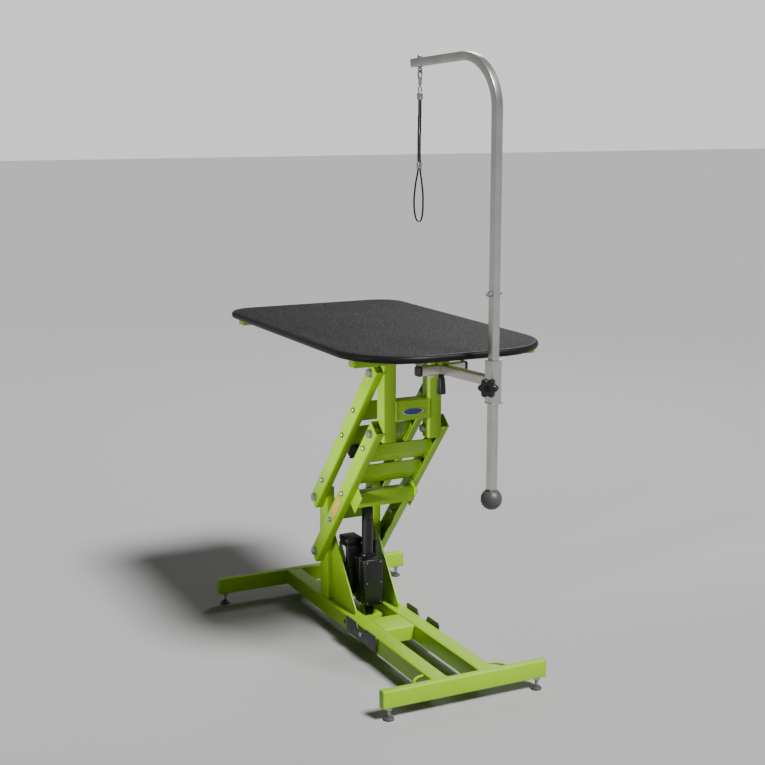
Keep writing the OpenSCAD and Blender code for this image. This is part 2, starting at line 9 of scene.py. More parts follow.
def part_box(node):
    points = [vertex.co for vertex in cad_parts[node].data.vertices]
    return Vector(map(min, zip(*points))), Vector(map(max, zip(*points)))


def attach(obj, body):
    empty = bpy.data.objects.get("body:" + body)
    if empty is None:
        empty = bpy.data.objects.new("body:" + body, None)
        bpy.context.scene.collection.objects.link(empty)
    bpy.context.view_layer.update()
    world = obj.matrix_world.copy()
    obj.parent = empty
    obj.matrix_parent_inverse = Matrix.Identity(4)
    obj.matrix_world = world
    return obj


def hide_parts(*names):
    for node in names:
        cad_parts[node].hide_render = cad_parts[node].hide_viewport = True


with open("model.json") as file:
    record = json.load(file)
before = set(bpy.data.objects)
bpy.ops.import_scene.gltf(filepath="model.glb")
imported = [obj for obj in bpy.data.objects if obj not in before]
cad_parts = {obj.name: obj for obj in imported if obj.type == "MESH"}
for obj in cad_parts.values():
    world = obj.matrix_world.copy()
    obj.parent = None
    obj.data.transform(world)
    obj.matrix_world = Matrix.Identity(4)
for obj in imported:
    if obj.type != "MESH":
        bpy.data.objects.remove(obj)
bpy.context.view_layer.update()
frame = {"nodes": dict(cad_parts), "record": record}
mm = 0.001

# ---- Camera ----
# A long lens a little above the top, looking over the front left corner of the
# table. It stands at fixed distances from the front face of the front cross bar.
front_low, front_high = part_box("front_bar")
camera_turn = math.radians(26.16)
camera_dip = math.radians(11.08)
camera_data = bpy.data.cameras.new("camera")
camera_data.sensor_width = 36
camera_data.lens = 66.33
camera = bpy.data.objects.new("camera", camera_data)
camera.location = (-1.804, front_low.y - 3.149, 1.612)
camera.rotation_euler = (math.pi / 2 - camera_dip, 0, -camera_turn)
bpy.context.collection.objects.link(camera)
bpy.context.scene.camera = camera


# ---- Grooming lead ----
# A narrow black nylon strap. Both ends are crimped under the snap hook, the two
# runs lie side by side through a slider, and the rest opens into a neck loop.
def new_material(name, colour, roughness, metallic=0.0):
    material = bpy.data.materials.new(name)
    material.use_nodes = True
    shader = material.node_tree.nodes["Principled BSDF"]
    shader.inputs["Base Color"].default_value = (*colour, 1)
    shader.inputs["Roughness"].default_value = roughness
    shader.inputs["Metallic"].default_value = metallic
    return material, shader


def node(material, kind, **settings):
    made = material.node_tree.nodes.new(kind)
    for key, value in settings.items():
        if key in made.inputs:
            made.inputs[key].default_value = value
        else:
            setattr(made, key, value)
    return made


def link(material, source, target):
    material.node_tree.links.new(source, target)


def object_coords(material, stretch=(1, 1, 1)):
    coords = node(material, "ShaderNodeTexCoord")
    mapping = node(material, "ShaderNodeMapping", Scale=stretch)
    link(material, coords.outputs["Object"], mapping.inputs["Vector"])
    return mapping.outputs["Vector"]


def noise(material, where, scale, detail=3):
    made = node(material, "ShaderNodeTexNoise", Scale=scale, Detail=detail)
    link(material, where, made.inputs["Vector"])
    return made.outputs["Fac"]


def ramp(material, factor, low, high, start=0.3, stop=0.7):
    made = node(material, "ShaderNodeValToRGB")
    made.color_ramp.elements[0].position = start
    made.color_ramp.elements[1].position = stop
    made.color_ramp.elements[0].color = (*low, 1)
    made.color_ramp.elements[1].color = (*high, 1)
    link(material, factor, made.inputs["Fac"])
    return made.outputs["Color"]


def spread(material, factor, low, high):
    made = node(material, "ShaderNodeMapRange")
    made.inputs["To Min"].default_value = low
    made.inputs["To Max"].default_value = high
    link(material, factor, made.inputs["Value"])
    return made.outputs["Result"]


def bump(material, shader, height, distance, strength=1.0):
    made = node(material, "ShaderNodeBump", Strength=strength, Distance=distance)
    link(material, height, made.inputs["Height"])
    link(material, made.outputs["Normal"], shader.inputs["Normal"])


def nylon_webbing():
    material, shader = new_material("nylon_webbing", (0.016, 0.016, 0.018), 0.62)
    where = object_coords(material)
    weave = node(material, "ShaderNodeTexWave", bands_direction="Z", Scale=260, Distortion=1.5)
    weave.inputs["Detail Scale"].default_value = 3
    link(material, where, weave.inputs["Vector"])
    colour = ramp(material, weave.outputs["Fac"], (0.004, 0.004, 0.0045), (0.013, 0.013, 0.014))
    link(material, colour, shader.inputs["Base Color"])
    bump(material, shader, weave.outputs["Fac"], 0.0004)
    shader.inputs["Specular IOR Level"].default_value = 0.2
    return material


def add_piece(name, build, material, body, slot, *nodes, hard_angle=35):
    mesh = bpy.data.meshes.new(name)
    bmesh.ops.recalc_face_normals(build, faces=build.faces)
    build.to_mesh(mesh)
    build.free()
    return place_piece(name, mesh, material, body, slot, *nodes, hard_angle=hard_angle)


def place_piece(name, mesh, material, body, slot, *nodes, hard_angle=35):
    piece = bpy.data.objects.new(name, mesh)
    bpy.context.collection.objects.link(piece)
    mesh.materials.clear()
    mesh.materials.append(material)
    mesh.shade_smooth()
    mesh.set_sharp_from_angle(angle=math.radians(hard_angle))
    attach(piece, body)
    if nodes:
        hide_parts(*nodes)
    return piece


def loft(build, rings, ring_closed=True):
    made = [[build.verts.new(p) for p in ring] for ring in rings]
    count = len(made[0])
    pairs = list(zip(made, made[1:]))
    if not ring_closed:
        pairs.append((made[-1], made[0]))
    for a, b in pairs:
        for k in range(count):
            build.faces.new((a[k], a[(k + 1) % count], b[(k + 1) % count], b[k]))
    if ring_closed:
        build.faces.new(made[0])
        build.faces.new(made[-1])


swing = math.radians(8.5)
joints = {joint["name"]: joint for joint in frame["record"]["behaviour"]["joints"]}
hook_pivot = Vector(joints["hook_swing"]["pos_m"])
at_hook = Matrix.Translation(hook_pivot + Vector((0, 0, 4 * mm))) @ Matrix.Rotation(swing, 4, "Z")

strap_width = 7 * mm
strap_thick = 1.6 * mm
lead_route = [
    (-3, -76), (-3, -88), (-3, -100), (-3, -112), (-4, -124), (-4, -136), (-4, -148), (-5, -160),
    (-5, -172), (-5, -184), (-5, -196), (-5, -208), (-5, -220), (-5, -232), (-4, -242), (-4, -252),
    (-5, -262), (-7, -272), (-10, -284), (-13, -298), (-15, -312), (-17, -326), (-18, -340),
    (-18, -354), (-17, -368), (-15, -380), (-12, -390), (-8, -397), (-3, -401), (2, -400),
    (6, -396), (9, -388), (11, -376), (12, -362), (12, -348), (12, -334), (11, -320), (9, -306),
    (7, -292), (5, -280), (3, -270), (2, -260), (2, -250), (2, -240), (1, -230), (1, -220),
    (1, -208), (1, -196), (1, -184), (1, -172), (2, -160), (2, -148), (2, -136), (2, -124),
    (3, -112), (3, -100), (3, -88), (3, -76),
]
lead_points = [at_hook @ Vector((x * mm, 0, z * mm)) for x, z in lead_route]


def add_ribbon(build, points, across, width, thick, sides=16):
    rings = []
    for i, point in enumerate(points):
        along = (points[min(i + 1, len(points) - 1)] - points[max(i - 1, 0)]).normalized()
        out = along.cross(across).normalized()
        section = []
        for k in range(sides):
            turn = 2 * math.pi * k / sides
            wide = across * math.copysign(abs(math.cos(turn)) ** 0.4, math.cos(turn)) * width / 2
            deep = out * math.copysign(abs(math.sin(turn)) ** 0.8, math.sin(turn)) * thick / 2
            section.append(point + wide + deep)
        rings.append(section)
    loft(build, rings)


across_lead = (at_hook.to_3x3() @ Vector((0, 1, 0))).normalized()
webbing = nylon_webbing()
strap = bmesh.new()
add_ribbon(strap, lead_points, across_lead, strap_width, strap_thick)
lead = add_piece("lead_strap", strap, webbing, "snap_hook", "strap", "lead")
lead_length = sum((b - a).length for a, b in zip(lead_points, lead_points[1:]))
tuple(lead_points[0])


# ---- Cross bars and rails ----
# Oblong steel tubes with rounded corners, cut square and welded into an H. The
# cross bars' ends are closed with flush plates, and all of it is powder coated lime.
def powder_coat():
    material, shader = new_material("lime_powder_coat", (0.25, 0.47, 0.003), 0.4)
    where = object_coords(material)
    cloud = noise(material, where, 6)
    colour = ramp(material, cloud, (0.235, 0.445, 0.002), (0.275, 0.50, 0.004))
    link(material, colour, shader.inputs["Base Color"])
    link(material, spread(material, cloud, 0.33, 0.47), shader.inputs["Roughness"])
    bump(material, shader, noise(material, where, 380, 2), 0.0004, 0.35)
    shader.inputs["Specular IOR Level"].default_value = 0.3
    shader.inputs["Coat Weight"].default_value = 0.08
    shader.inputs["Coat Roughness"].default_value = 0.22
    return material


def rounded_rect(wide, high, corner, steps=4):
    points = []
    for cx, cy, start in ((1, 1, 0), (-1, 1, 90), (-1, -1, 180), (1, -1, 270)):
        for k in range(steps + 1):
            turn = math.radians(start + 90 * k / steps)
            points.append((cx * (wide / 2 - corner) + corner * math.cos(turn),
                           cy * (high / 2 - corner) + corner * math.sin(turn)))
    return points


def add_tube(build, low, high, axis, corner=4 * mm, wall=2 * mm, rim=0.5 * mm):
    low, high = Vector(low), Vector(high)
    middle = (low + high) / 2
    u, v = [i for i in range(3) if i != axis]
    wide, deep = high[u] - low[u], high[v] - low[v]

    def ring(inset, along):
        points = []
        for a, b in rounded_rect(wide - 2 * inset, deep - 2 * inset, max(corner - inset, 0.3 * mm)):
            point = Vector((0, 0, 0))
            point[axis], point[u], point[v] = along, middle[u] + a, middle[v] + b
            points.append(point)
        return points

    start, stop = low[axis], high[axis]
    loft(build, [ring(rim, start), ring(0, start + rim), ring(0, stop - rim), ring(rim, stop),
                 ring(wall, stop), ring(wall, start)], ring_closed=False)


def add_box(build, low, high, corner=1 * mm, steps=2):
    low, high = Vector(low), Vector(high)
    made = bmesh.ops.create_cube(build, size=1)["verts"]
    for vert in made:
        for i in range(3):
            vert.co[i] = low[i] if vert.co[i] < 0 else high[i]
    edges = list({edge for vert in made for edge in vert.link_edges})
    bmesh.ops.bevel(build, geom=edges, offset=corner, segments=steps, profile=0.5, affect="EDGES",
                    clamp_overlap=True)


green = powder_coat()
long_rails = bmesh.new()
for part in ("rail_left", "rail_right"):
    add_tube(long_rails, *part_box(part), 1)
add_piece("base_rails", long_rails, green, "base", "green_paint", "rail_left", "rail_right")
bars = bmesh.new()
for part in ("front_bar", "rear_bar"):
    add_tube(bars, *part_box(part), 0)
add_piece("cross_bars", bars, green, "base", "green_paint", "front_bar", "rear_bar")
plates = bmesh.new()
plate_thick = 2 * mm
for part in ("front_bar", "rear_bar"):
    low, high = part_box(part)
    for x0, x1 in ((low.x - plate_thick, low.x - 0.2 * mm), (high.x + 0.2 * mm, high.x + plate_thick)):
        add_box(plates, (x0, low.y, low.z), (x1, high.y, high.z), 0.8 * mm)
add_piece("bar_end_plates", plates, green, "base", "green_paint", "bar_plates")
ties = bmesh.new()
for part in ("mid_tie", "post_tie"):
    add_tube(ties, *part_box(part), 0, wall=3 * mm)
add_piece("base_ties", ties, green, "base", "green_paint", "mid_tie", "post_tie")


# ---- Posts, gussets and clevis ----
# Two upright tubes with a slanted back corner stand on the rails behind tapering
# plate gussets. A low cross tube between the rails carries the actuator's ears.
def fillet(corners, steps=4):
    points = []
    count = len(corners)
    for i, (x, y, r) in enumerate(corners):
        here = Vector((x, y))
        if r <= 0:
            points.append(here)
            continue
        back = (Vector(corners[i - 1][:2]) - here).normalized()
        ahead = (Vector(corners[(i + 1) % count][:2]) - here).normalized()
        half = back.angle(ahead) / 2
        centre = here + (back + ahead).normalized() * r / math.sin(half)
        start = here + back * r / math.tan(half) - centre
        stop = here + ahead * r / math.tan(half) - centre
        turn = start.angle_signed(stop)
        for k in range(steps + 1):
            angle = -turn * k / steps
            points.append(centre + Vector((start.x * math.cos(angle) - start.y * math.sin(angle),
                                           start.x * math.sin(angle) + start.y * math.cos(angle))))
    return points


def merge(build, part, where=None):
    if where:
        bmesh.ops.transform(part, matrix=where, verts=part.verts)
    spare = bpy.data.meshes.new("spare")
    part.to_mesh(spare)
    part.free()
    build.from_mesh(spare)
    bpy.data.meshes.remove(spare)


def add_prism(build, outline, where, depth, edge=0.6 * mm):
    made = bmesh.new()
    low = [made.verts.new(where @ Vector((p[0], p[1], 0))) for p in outline]
    high = [made.verts.new(where @ Vector((p[0], p[1], depth))) for p in outline]
    made.faces.new(low)
    made.faces.new(high)
    for k in range(len(outline)):
        j = (k + 1) % len(outline)
        made.faces.new((low[k], low[j], high[j], high[k]))
    bmesh.ops.recalc_face_normals(made, faces=made.faces)
    if edge:
        sharp = [e for e in made.edges if e.calc_face_angle(0) > math.radians(50)]
        bmesh.ops.bevel(made, geom=sharp, offset=edge, segments=2, profile=0.5, affect="EDGES",
                        clamp_overlap=True)
    merge(build, made)


# Local X and Y of an outline lie along the world's Y and Z, and its depth along X
yz_plane = Matrix(((0, 0, 1, 0), (1, 0, 0, 0), (0, 1, 0, 0), (0, 0, 0, 1)))


def mirrored(build):
    copy = build.copy()
    for vert in copy.verts:
        vert.co.x = -vert.co.x
    merge(build, copy)


posts = bmesh.new()
low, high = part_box("post_right")
slant = 17 * mm
add_prism(posts, fillet([(low.y, low.z, 0), (high.y, low.z, 0), (high.y, high.z - slant, 3 * mm),
                         (high.y - slant, high.z, 3 * mm), (low.y, high.z, 3 * mm)]),
          Matrix.Translation((low.x, 0, 0)) @ yz_plane, high.x - low.x, 2.4 * mm)
mirrored(posts)
add_piece("base_posts", posts, green, "base", "green_paint", "post_left", "post_right")

gussets = bmesh.new()
low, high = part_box("gussets")
gusset_thick = 5 * mm
toe = 14 * mm
add_prism(gussets, fillet([(high.y, low.z, 0), (high.y, high.z, 0), (high.y - 12 * mm, high.z, 3 * mm),
                           (low.y, low.z + toe, 3 * mm), (low.y, low.z, 0)]),
          Matrix.Translation((high.x - gusset_thick, 0, 0)) @ yz_plane, gusset_thick)
mirrored(gussets)
add_piece("post_gussets", gussets, green, "base", "green_paint", "gussets")


def softened(part, name, material, body, slot, width, hard_angle=35):
    build = bmesh.new()
    build.from_mesh(frame["nodes"][part].data)
    bmesh.ops.remove_doubles(build, verts=build.verts, dist=0.002 * mm)
    bmesh.ops.dissolve_limit(build, angle_limit=math.radians(1), verts=build.verts, edges=build.edges)
    sharp = [e for e in build.edges if len(e.link_faces) == 2 and e.calc_face_angle(0) > math.radians(40)]
    bmesh.ops.bevel(build, geom=sharp, offset=width, segments=2, profile=0.5, affect="EDGES",
                    clamp_overlap=True)
    return add_piece(name, build, material, body, slot, part, hard_angle=hard_angle)


softened("clevis_tie", "actuator_clevis", green, "base", "green_paint", 0.8 * mm)


# ---- Corner hoops ----
# Bent round rods that brace the corners between the rails and the front bar.
def add_rod(build, points, radius, sides=16):
    rings = []
    side = None
    for i, point in enumerate(points):
        along = (points[min(i + 1, len(points) - 1)] - points[max(i - 1, 0)]).normalized()
        if side is None:
            side = along.orthogonal().normalized()
        side = (side - along * side.dot(along)).normalized()
        up = along.cross(side)
        rings.append([point + side * radius * math.cos(2 * math.pi * k / sides)
                      + up * radius * math.sin(2 * math.pi * k / sides) for k in range(sides)])
    loft(build, rings)


hoops = bmesh.new()
low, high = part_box("corner_hoops")
rail_low, rail_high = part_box("rail_right")
hoop_bend = 46 * mm
hoop_rod = 4 * mm
arc = [math.radians(-4 + 98 * k / 24) for k in range(25)]
add_rod(hoops, [Vector((rail_high.x + hoop_bend * math.cos(a), front_high.y + hoop_bend * math.sin(a),
                        (low.z + high.z) / 2)) for a in arc], hoop_rod)
mirrored(hoops)
add_piece("corner_braces", hoops, green, "base", "green_paint", "corner_hoops")


# ---- Weld beads ----
# A ripple of small overlapping beads where plates and tubes meet. One tree lays them
# along the edges that it is given, with a little scatter in their size.
def tree_socket(tree, name, kind, value=None):
    made = tree.interface.new_socket(name, in_out="INPUT", socket_type=kind)
    if value is not None:
        made.default_value = value
    return made


def tree_node(tree, kind, **settings):
    made = tree.nodes.new(kind)
    for key, value in settings.items():
        if key in made.inputs:
            made.inputs[key].default_value = value
        else:
            setattr(made, key, value)
    return made


def weld_tree():
    tree = bpy.data.node_groups.new("weld_beads", "GeometryNodeTree")
    tree_socket(tree, "Seam", "NodeSocketGeometry")
    tree_socket(tree, "Spacing", "NodeSocketFloat", 2.4 * mm)
    tree_socket(tree, "Bead", "NodeSocketFloat", 2.2 * mm)
    tree_socket(tree, "Paint", "NodeSocketMaterial")
    tree.interface.new_socket("Beads", in_out="OUTPUT", socket_type="NodeSocketGeometry")
    source, sink = tree.nodes.new("NodeGroupInput"), tree.nodes.new("NodeGroupOutput")
    curve = tree_node(tree, "GeometryNodeMeshToCurve")
    points = tree_node(tree, "GeometryNodeCurveToPoints", mode="LENGTH")
    bead = tree_node(tree, "GeometryNodeMeshIcoSphere", Subdivisions=2)
    scatter = tree_node(tree, "FunctionNodeRandomValue", data_type="FLOAT")
    scatter.inputs[2].default_value = 0.8
    scatter.inputs[3].default_value = 1.2
    scatter.inputs["Seed"].default_value = 5
    spots = tree_node(tree, "GeometryNodeInstanceOnPoints")
    real = tree_node(tree, "GeometryNodeRealizeInstances")
    paint = tree_node(tree, "GeometryNodeSetMaterial")
    join = tree.links.new
    join(source.outputs["Seam"], curve.inputs[0])
    join(curve.outputs[0], points.inputs[0])
    join(source.outputs["Spacing"], points.inputs["Length"])
    join(source.outputs["Bead"], bead.inputs["Radius"])
    join(points.outputs["Points"], spots.inputs["Points"])
    join(bead.outputs["Mesh"], spots.inputs["Instance"])
    join(scatter.outputs[1], spots.inputs["Scale"])
    join(spots.outputs[0], real.inputs[0])
    join(real.outputs[0], paint.inputs["Geometry"])
    join(source.outputs["Paint"], paint.inputs["Material"])
    join(paint.outputs[0], sink.inputs[0])
    return tree


def grown(name, seed_mesh, tree, values):
    seed = bpy.data.objects.new(name, seed_mesh)
    bpy.context.collection.objects.link(seed)
    modifier = seed.modifiers.new("grow", "NODES")
    modifier.node_group = tree
    for socket in tree.interface.items_tree:
        if socket.item_type == "SOCKET" and socket.name in values:
            modifier[socket.identifier] = values[socket.name]
    bpy.context.view_layer.update()
    evaluated = seed.evaluated_get(bpy.context.evaluated_depsgraph_get())
    mesh = bpy.data.meshes.new_from_object(evaluated)
    seed.modifiers.clear()
    bpy.data.objects.remove(seed)
    mesh.name = name
    return mesh


weld_beads = weld_tree()


def weld(name, seams, body):
    mesh = bpy.data.meshes.new(name)
    verts, edges = [], []
    for a, b in seams:
        for side in (-1, 1):
            edges.append((len(verts), len(verts) + 1))
            verts += [(side * a[0], a[1], a[2]), (side * b[0], b[1], b[2])]
    mesh.from_pydata(verts, edges, [])
    beads = grown(name, mesh, weld_beads, {"Paint": green})
    return place_piece(name, beads, green, body, "green_paint", hard_angle=60)


gusset_low, gusset_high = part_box("gussets")
post_low, post_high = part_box("post_right")
bar_top = rail_high.z
rear_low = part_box("rear_bar")[0]
tie_low, tie_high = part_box("mid_tie")
face_in, face_out = gusset_high.x - gusset_thick, gusset_high.x
weld("base_welds", [
    ((face_out, gusset_high.y, bar_top), (face_out, gusset_high.y, gusset_high.z)),
    ((face_in, gusset_high.y, bar_top), (face_in, gusset_high.y, gusset_high.z)),
    ((face_out, gusset_low.y, bar_top), (face_out, gusset_high.y, bar_top)),
    ((face_in, gusset_low.y, bar_top), (face_in, gusset_high.y, bar_top)),
    ((post_low.x, post_low.y, bar_top), (post_high.x, post_low.y, bar_top)),
    ((post_high.x, post_low.y, bar_top), (post_high.x, post_high.y, bar_top)),
    ((post_low.x, post_high.y, bar_top), (post_high.x, post_high.y, bar_top)),
    ((rail_low.x + 3 * mm, front_high.y, bar_top - mm), (rail_high.x - 3 * mm, front_high.y, bar_top - mm)),
    ((rail_low.x + 3 * mm, rear_low.y, bar_top - mm), (rail_high.x - 3 * mm, rear_low.y, bar_top - mm)),
    ((rail_high.x, front_high.y, rail_low.z + 5 * mm), (rail_high.x, front_high.y, bar_top - 3 * mm)),
    ((rail_low.x, front_high.y, rail_low.z + 5 * mm), (rail_low.x, front_high.y, bar_top - 3 * mm)),
    ((rail_high.x, rear_low.y, rail_low.z + 5 * mm), (rail_high.x, rear_low.y, bar_top - 3 * mm)),
    ((rail_low.x, tie_low.y, tie_low.z + 4 * mm), (rail_low.x, tie_low.y, tie_high.z - 4 * mm)),
], "base")


# ---- Levelling feet ----
# A ribbed plastic pad turns on a threaded zinc stud, with a chamfered nut under the bar.
def zinc_plate():
    material, shader = new_material("zinc_plate", (0.62, 0.62, 0.64), 0.3, 1.0)
    where = object_coords(material)
    cloud = noise(material, where, 160)
    link(material, ramp(material, cloud, (0.30, 0.30, 0.31), (0.56, 0.56, 0.58)), shader.inputs["Base Color"])
    link(material, spread(material, cloud, 0.2, 0.42), shader.inputs["Roughness"])
    bump(material, shader, noise(material, where, 700, 2), 0.0002, 0.3)
    return material


def moulded(name, colour, roughness, grain=300, depth=0.0003):
    material, shader = new_material(name, colour, roughness)
    where = object_coords(material)
    pores = noise(material, where, grain)
    low = tuple(c * 0.8 for c in colour)
    high = tuple(c * 1.25 for c in colour)
    link(material, ramp(material, pores, low, high), shader.inputs["Base Color"])
    link(material, spread(material, pores, roughness - 0.06, roughness + 0.06), shader.inputs["Roughness"])
    bump(material, shader, pores, depth, 0.4)
    return material


def add_lathe(build, profile, where, steps=40, wave=0.0, waves=0):
    rings = []
    for r, z in profile:
        ring = []
        for k in range(steps):
            turn = 2 * math.pi * k / steps
            reach = r * (1 + wave * math.cos(waves * turn))
            ring.append(where @ Vector((reach * math.cos(turn), reach * math.sin(turn), z)))
        rings.append(ring)
    loft(build, rings)


def add_thread(build, radius, z0, z1, where, pitch=1.5 * mm, depth=0.7 * mm, steps=24):
    turns = int((z1 - z0) / pitch)
    rings = []
    for i in range(turns):
        for share, inset in ((0.0, 0.0), (0.35, 0.0), (0.5, depth), (0.85, depth)):
            ring = []
            for k in range(steps):
                turn = 2 * math.pi * k / steps
                z = min(z0 + pitch * (i + share + k / steps), z1)
                ring.append(where @ Vector(((radius - inset) * math.cos(turn),
                                            (radius - inset) * math.sin(turn), z)))
            rings.append(ring)
    loft(build, rings)


def add_hex(build, flats, z0, z1, where):
    across = flats / 2 / math.cos(math.pi / 6)
    rings = []
    for share, z in ((0.93, z0), (1.0, z0 + 0.8 * mm), (1.0, z1 - 0.8 * mm), (0.93, z1)):
        rings.append([where @ Vector((across * share * math.cos(math.pi * k / 3),
                                      across * share * math.sin(math.pi * k / 3), z)) for k in range(6)])
    loft(build, rings)


zinc = zinc_plate()
grey_moulding = moulded("grey_moulding", (0.055, 0.055, 0.057), 0.45)
stud_r = 5 * mm
nut_high = 8 * mm
foot_centres = []
for corner in ("front_left", "front_right", "rear_left", "rear_right"):
    part = "foot_" + corner
    low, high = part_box(part)
    middle = (low + high) / 2
    at_foot = Matrix.Translation((middle.x, middle.y, 0))
    foot_centres.append(at_foot)
    pad = bmesh.new()
    add_lathe(pad, [(13 * mm, 0), (14.5 * mm, 0.8 * mm), (15 * mm, 2 * mm), (15 * mm, 5 * mm),
                    (14 * mm, 6.5 * mm), (10 * mm, 7.6 * mm), (8 * mm, 9 * mm), (7.6 * mm, 12 * mm),
                    (5.4 * mm, 12.6 * mm)], at_foot, 48)
    for k in range(12):
        turn = at_foot @ Matrix.Rotation(math.pi * k / 6, 4, "Z")
        add_prism(pad, [(7 * mm, 0), (13.6 * mm, 0), (7 * mm, 4.5 * mm)],
                  turn @ Matrix.Translation((0, 0.6 * mm, 6 * mm)) @ Matrix.Rotation(math.pi / 2, 4, "X"),
                  1.2 * mm, 0)
    add_piece(part + "_pad", pad, grey_moulding, part, "grey_plastic", part)
    stud = bmesh.new()
    add_thread(stud, stud_r, 12.4 * mm, high.z, at_foot)
    add_piece(part + "_stud", stud, zinc, part, "zinc")
nuts = bmesh.new()
for at_foot in foot_centres:
    add_hex(nuts, 17 * mm, rail_low.z - nut_high, rail_low.z - 0.1 * mm, at_foot)
    add_lathe(nuts, [(8 * mm, rail_low.z - nut_high - 0.3 * mm), (8 * mm, rail_low.z - nut_high + 0.4 * mm)],
              at_foot, 32)
add_piece("foot_lock_nuts", nuts, zinc, "base", "zinc", "foot_nuts")


# ---- Foot pedals ----
# A pressed plate with two raised lobes rocks on a plated bolt at each rail. Plain
# arrows stand a little proud of the left one, and a rubber grommet sits behind it.
grey_paint = moulded("pedal_grey", (0.05, 0.05, 0.053), 0.42, 500)
black_moulding = moulded("black_moulding", (0.006, 0.006, 0.0065), 0.4)
for side, part in ((-1, "pedal_left"), (1, "pedal_right")):
    low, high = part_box(part)
    pivot = Vector(joints[part + "_rock"]["pos_m"])
    rise, reach, drop = high.z - pivot.z, (high.y - low.y) / 2, pivot.z - low.z
    lobes = [(6 * mm - reach, -drop, 6 * mm), (reach - 6 * mm, -drop, 6 * mm),
             (reach, rise, 9 * mm), (34 * mm, rise, 6 * mm), (20 * mm, 11 * mm, 8 * mm),
             (-20 * mm, 11 * mm, 8 * mm), (-34 * mm, rise, 6 * mm), (-reach, rise, 9 * mm)]
    pedal = bmesh.new()
    face = Matrix.Translation((low.x, pivot.y, pivot.z)) @ yz_plane
    add_prism(pedal, fillet(lobes, 5), face, high.x - low.x, 1.1 * mm)
    rim = [(y * 0.93, z * 0.86 - 0.5 * mm, r) for y, z, r in lobes]
    outer = high.x if side > 0 else low.x
    add_prism(pedal, fillet(rim, 5), Matrix.Translation((outer - 0.5 * mm, pivot.y, pivot.z)) @ yz_plane,
              1.0 * mm, 0.4 * mm)
    add_piece(part + "_plate", pedal, grey_paint, part, "grey_paint", part)
    arrows = bmesh.new()
    for way, y in ((-1, 62 * mm), (1, -62 * mm)):
        tip = 13 * mm * way
        arrow = [(y, 1 * mm + tip), (y + 9 * mm, 1 * mm + tip * 0.2), (y + 3.4 * mm, 1 * mm + tip * 0.2),
                 (y + 3.4 * mm, 1 * mm - tip), (y - 3.4 * mm, 1 * mm - tip),
                 (y - 3.4 * mm, 1 * mm + tip * 0.2), (y - 9 * mm, 1 * mm + tip * 0.2)]
        add_prism(arrows, arrow, Matrix.Translation((outer + side * 0.5 * mm - 0.35 * mm, pivot.y, pivot.z))
                  @ yz_plane, 0.7 * mm, 0)
    add_piece(part + "_arrows", arrows, black_moulding, part, "grey_paint")
bolts = bmesh.new()
out_x = Matrix.Rotation(math.pi / 2, 4, "Y")
for side in (-1, 1):
    pivot = Vector(joints["pedal_left_rock"]["pos_m"])
    face = Matrix.Translation((side * rail_high.x, pivot.y, pivot.z)) \
        @ Matrix.Rotation(side * math.pi / 2, 4, "Y")
    add_lathe(bolts, [(stud_r, -4 * mm), (stud_r, 0), (9 * mm, 0), (9 * mm, 2.6 * mm), (stud_r, 2.7 * mm),
                      (stud_r, 7.4 * mm), (7.6 * mm, 7.4 * mm), (8 * mm, 8 * mm), (8 * mm, 9.4 * mm),
                      (6.4 * mm, 11.2 * mm), (4 * mm, 11.9 * mm)], face, 40)
add_piece("pedal_pivots", bolts, zinc, "base", "zinc", "pedal_bolts")
grommets = bmesh.new()
for side in (-1, 1):
    face = Matrix.Translation((side * rail_high.x, pivot.y + 128 * mm, pivot.z - 4 * mm)) \
        @ Matrix.Rotation(side * math.pi / 2, 4, "Y")
    add_lathe(grommets, [(5 * mm, -3 * mm), (5 * mm, 0), (6.6 * mm, 0.1 * mm), (6.8 * mm, 0.8 * mm),
                         (6 * mm, 1.5 * mm), (4 * mm, 1.3 * mm), (3.4 * mm, 0.3 * mm)], face, 32)
add_piece("rail_grommets", grommets, black_moulding, "base", "black_plastic")


# ---- Lift arms ----
# Four formed steel channels, open towards the middle, with a bored boss at each
# end. The upper and lower pairs stay parallel, so the top stays level.
def on_arms(joint):
    pivot = Vector(joints[joint]["pos_m"])
    span = Vector(joints["table_level"]["pos_m"]) - Vector(joints["lift"]["pos_m"])
    along = span.normalized()
    front = Vector((1, 0, 0)).cross(along)
    return Matrix(((1, 0, 0, 0), (0, along.y, front.y, pivot.y), (0, along.z, front.z, pivot.z),
                   (0, 0, 0, 1)))


arm_low, arm_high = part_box("lower_arm_right")
arm_in, arm_out = arm_low.x, arm_high.x
arm_long = (Vector(joints["table_level"]["pos_m"]) - Vector(joints["lift"]["pos_m"])).length
arm_end = 27 * mm
arm_half = 25 * mm
arm_wall = 4 * mm
pin_r = 8 * mm
boss_r = 15 * mm
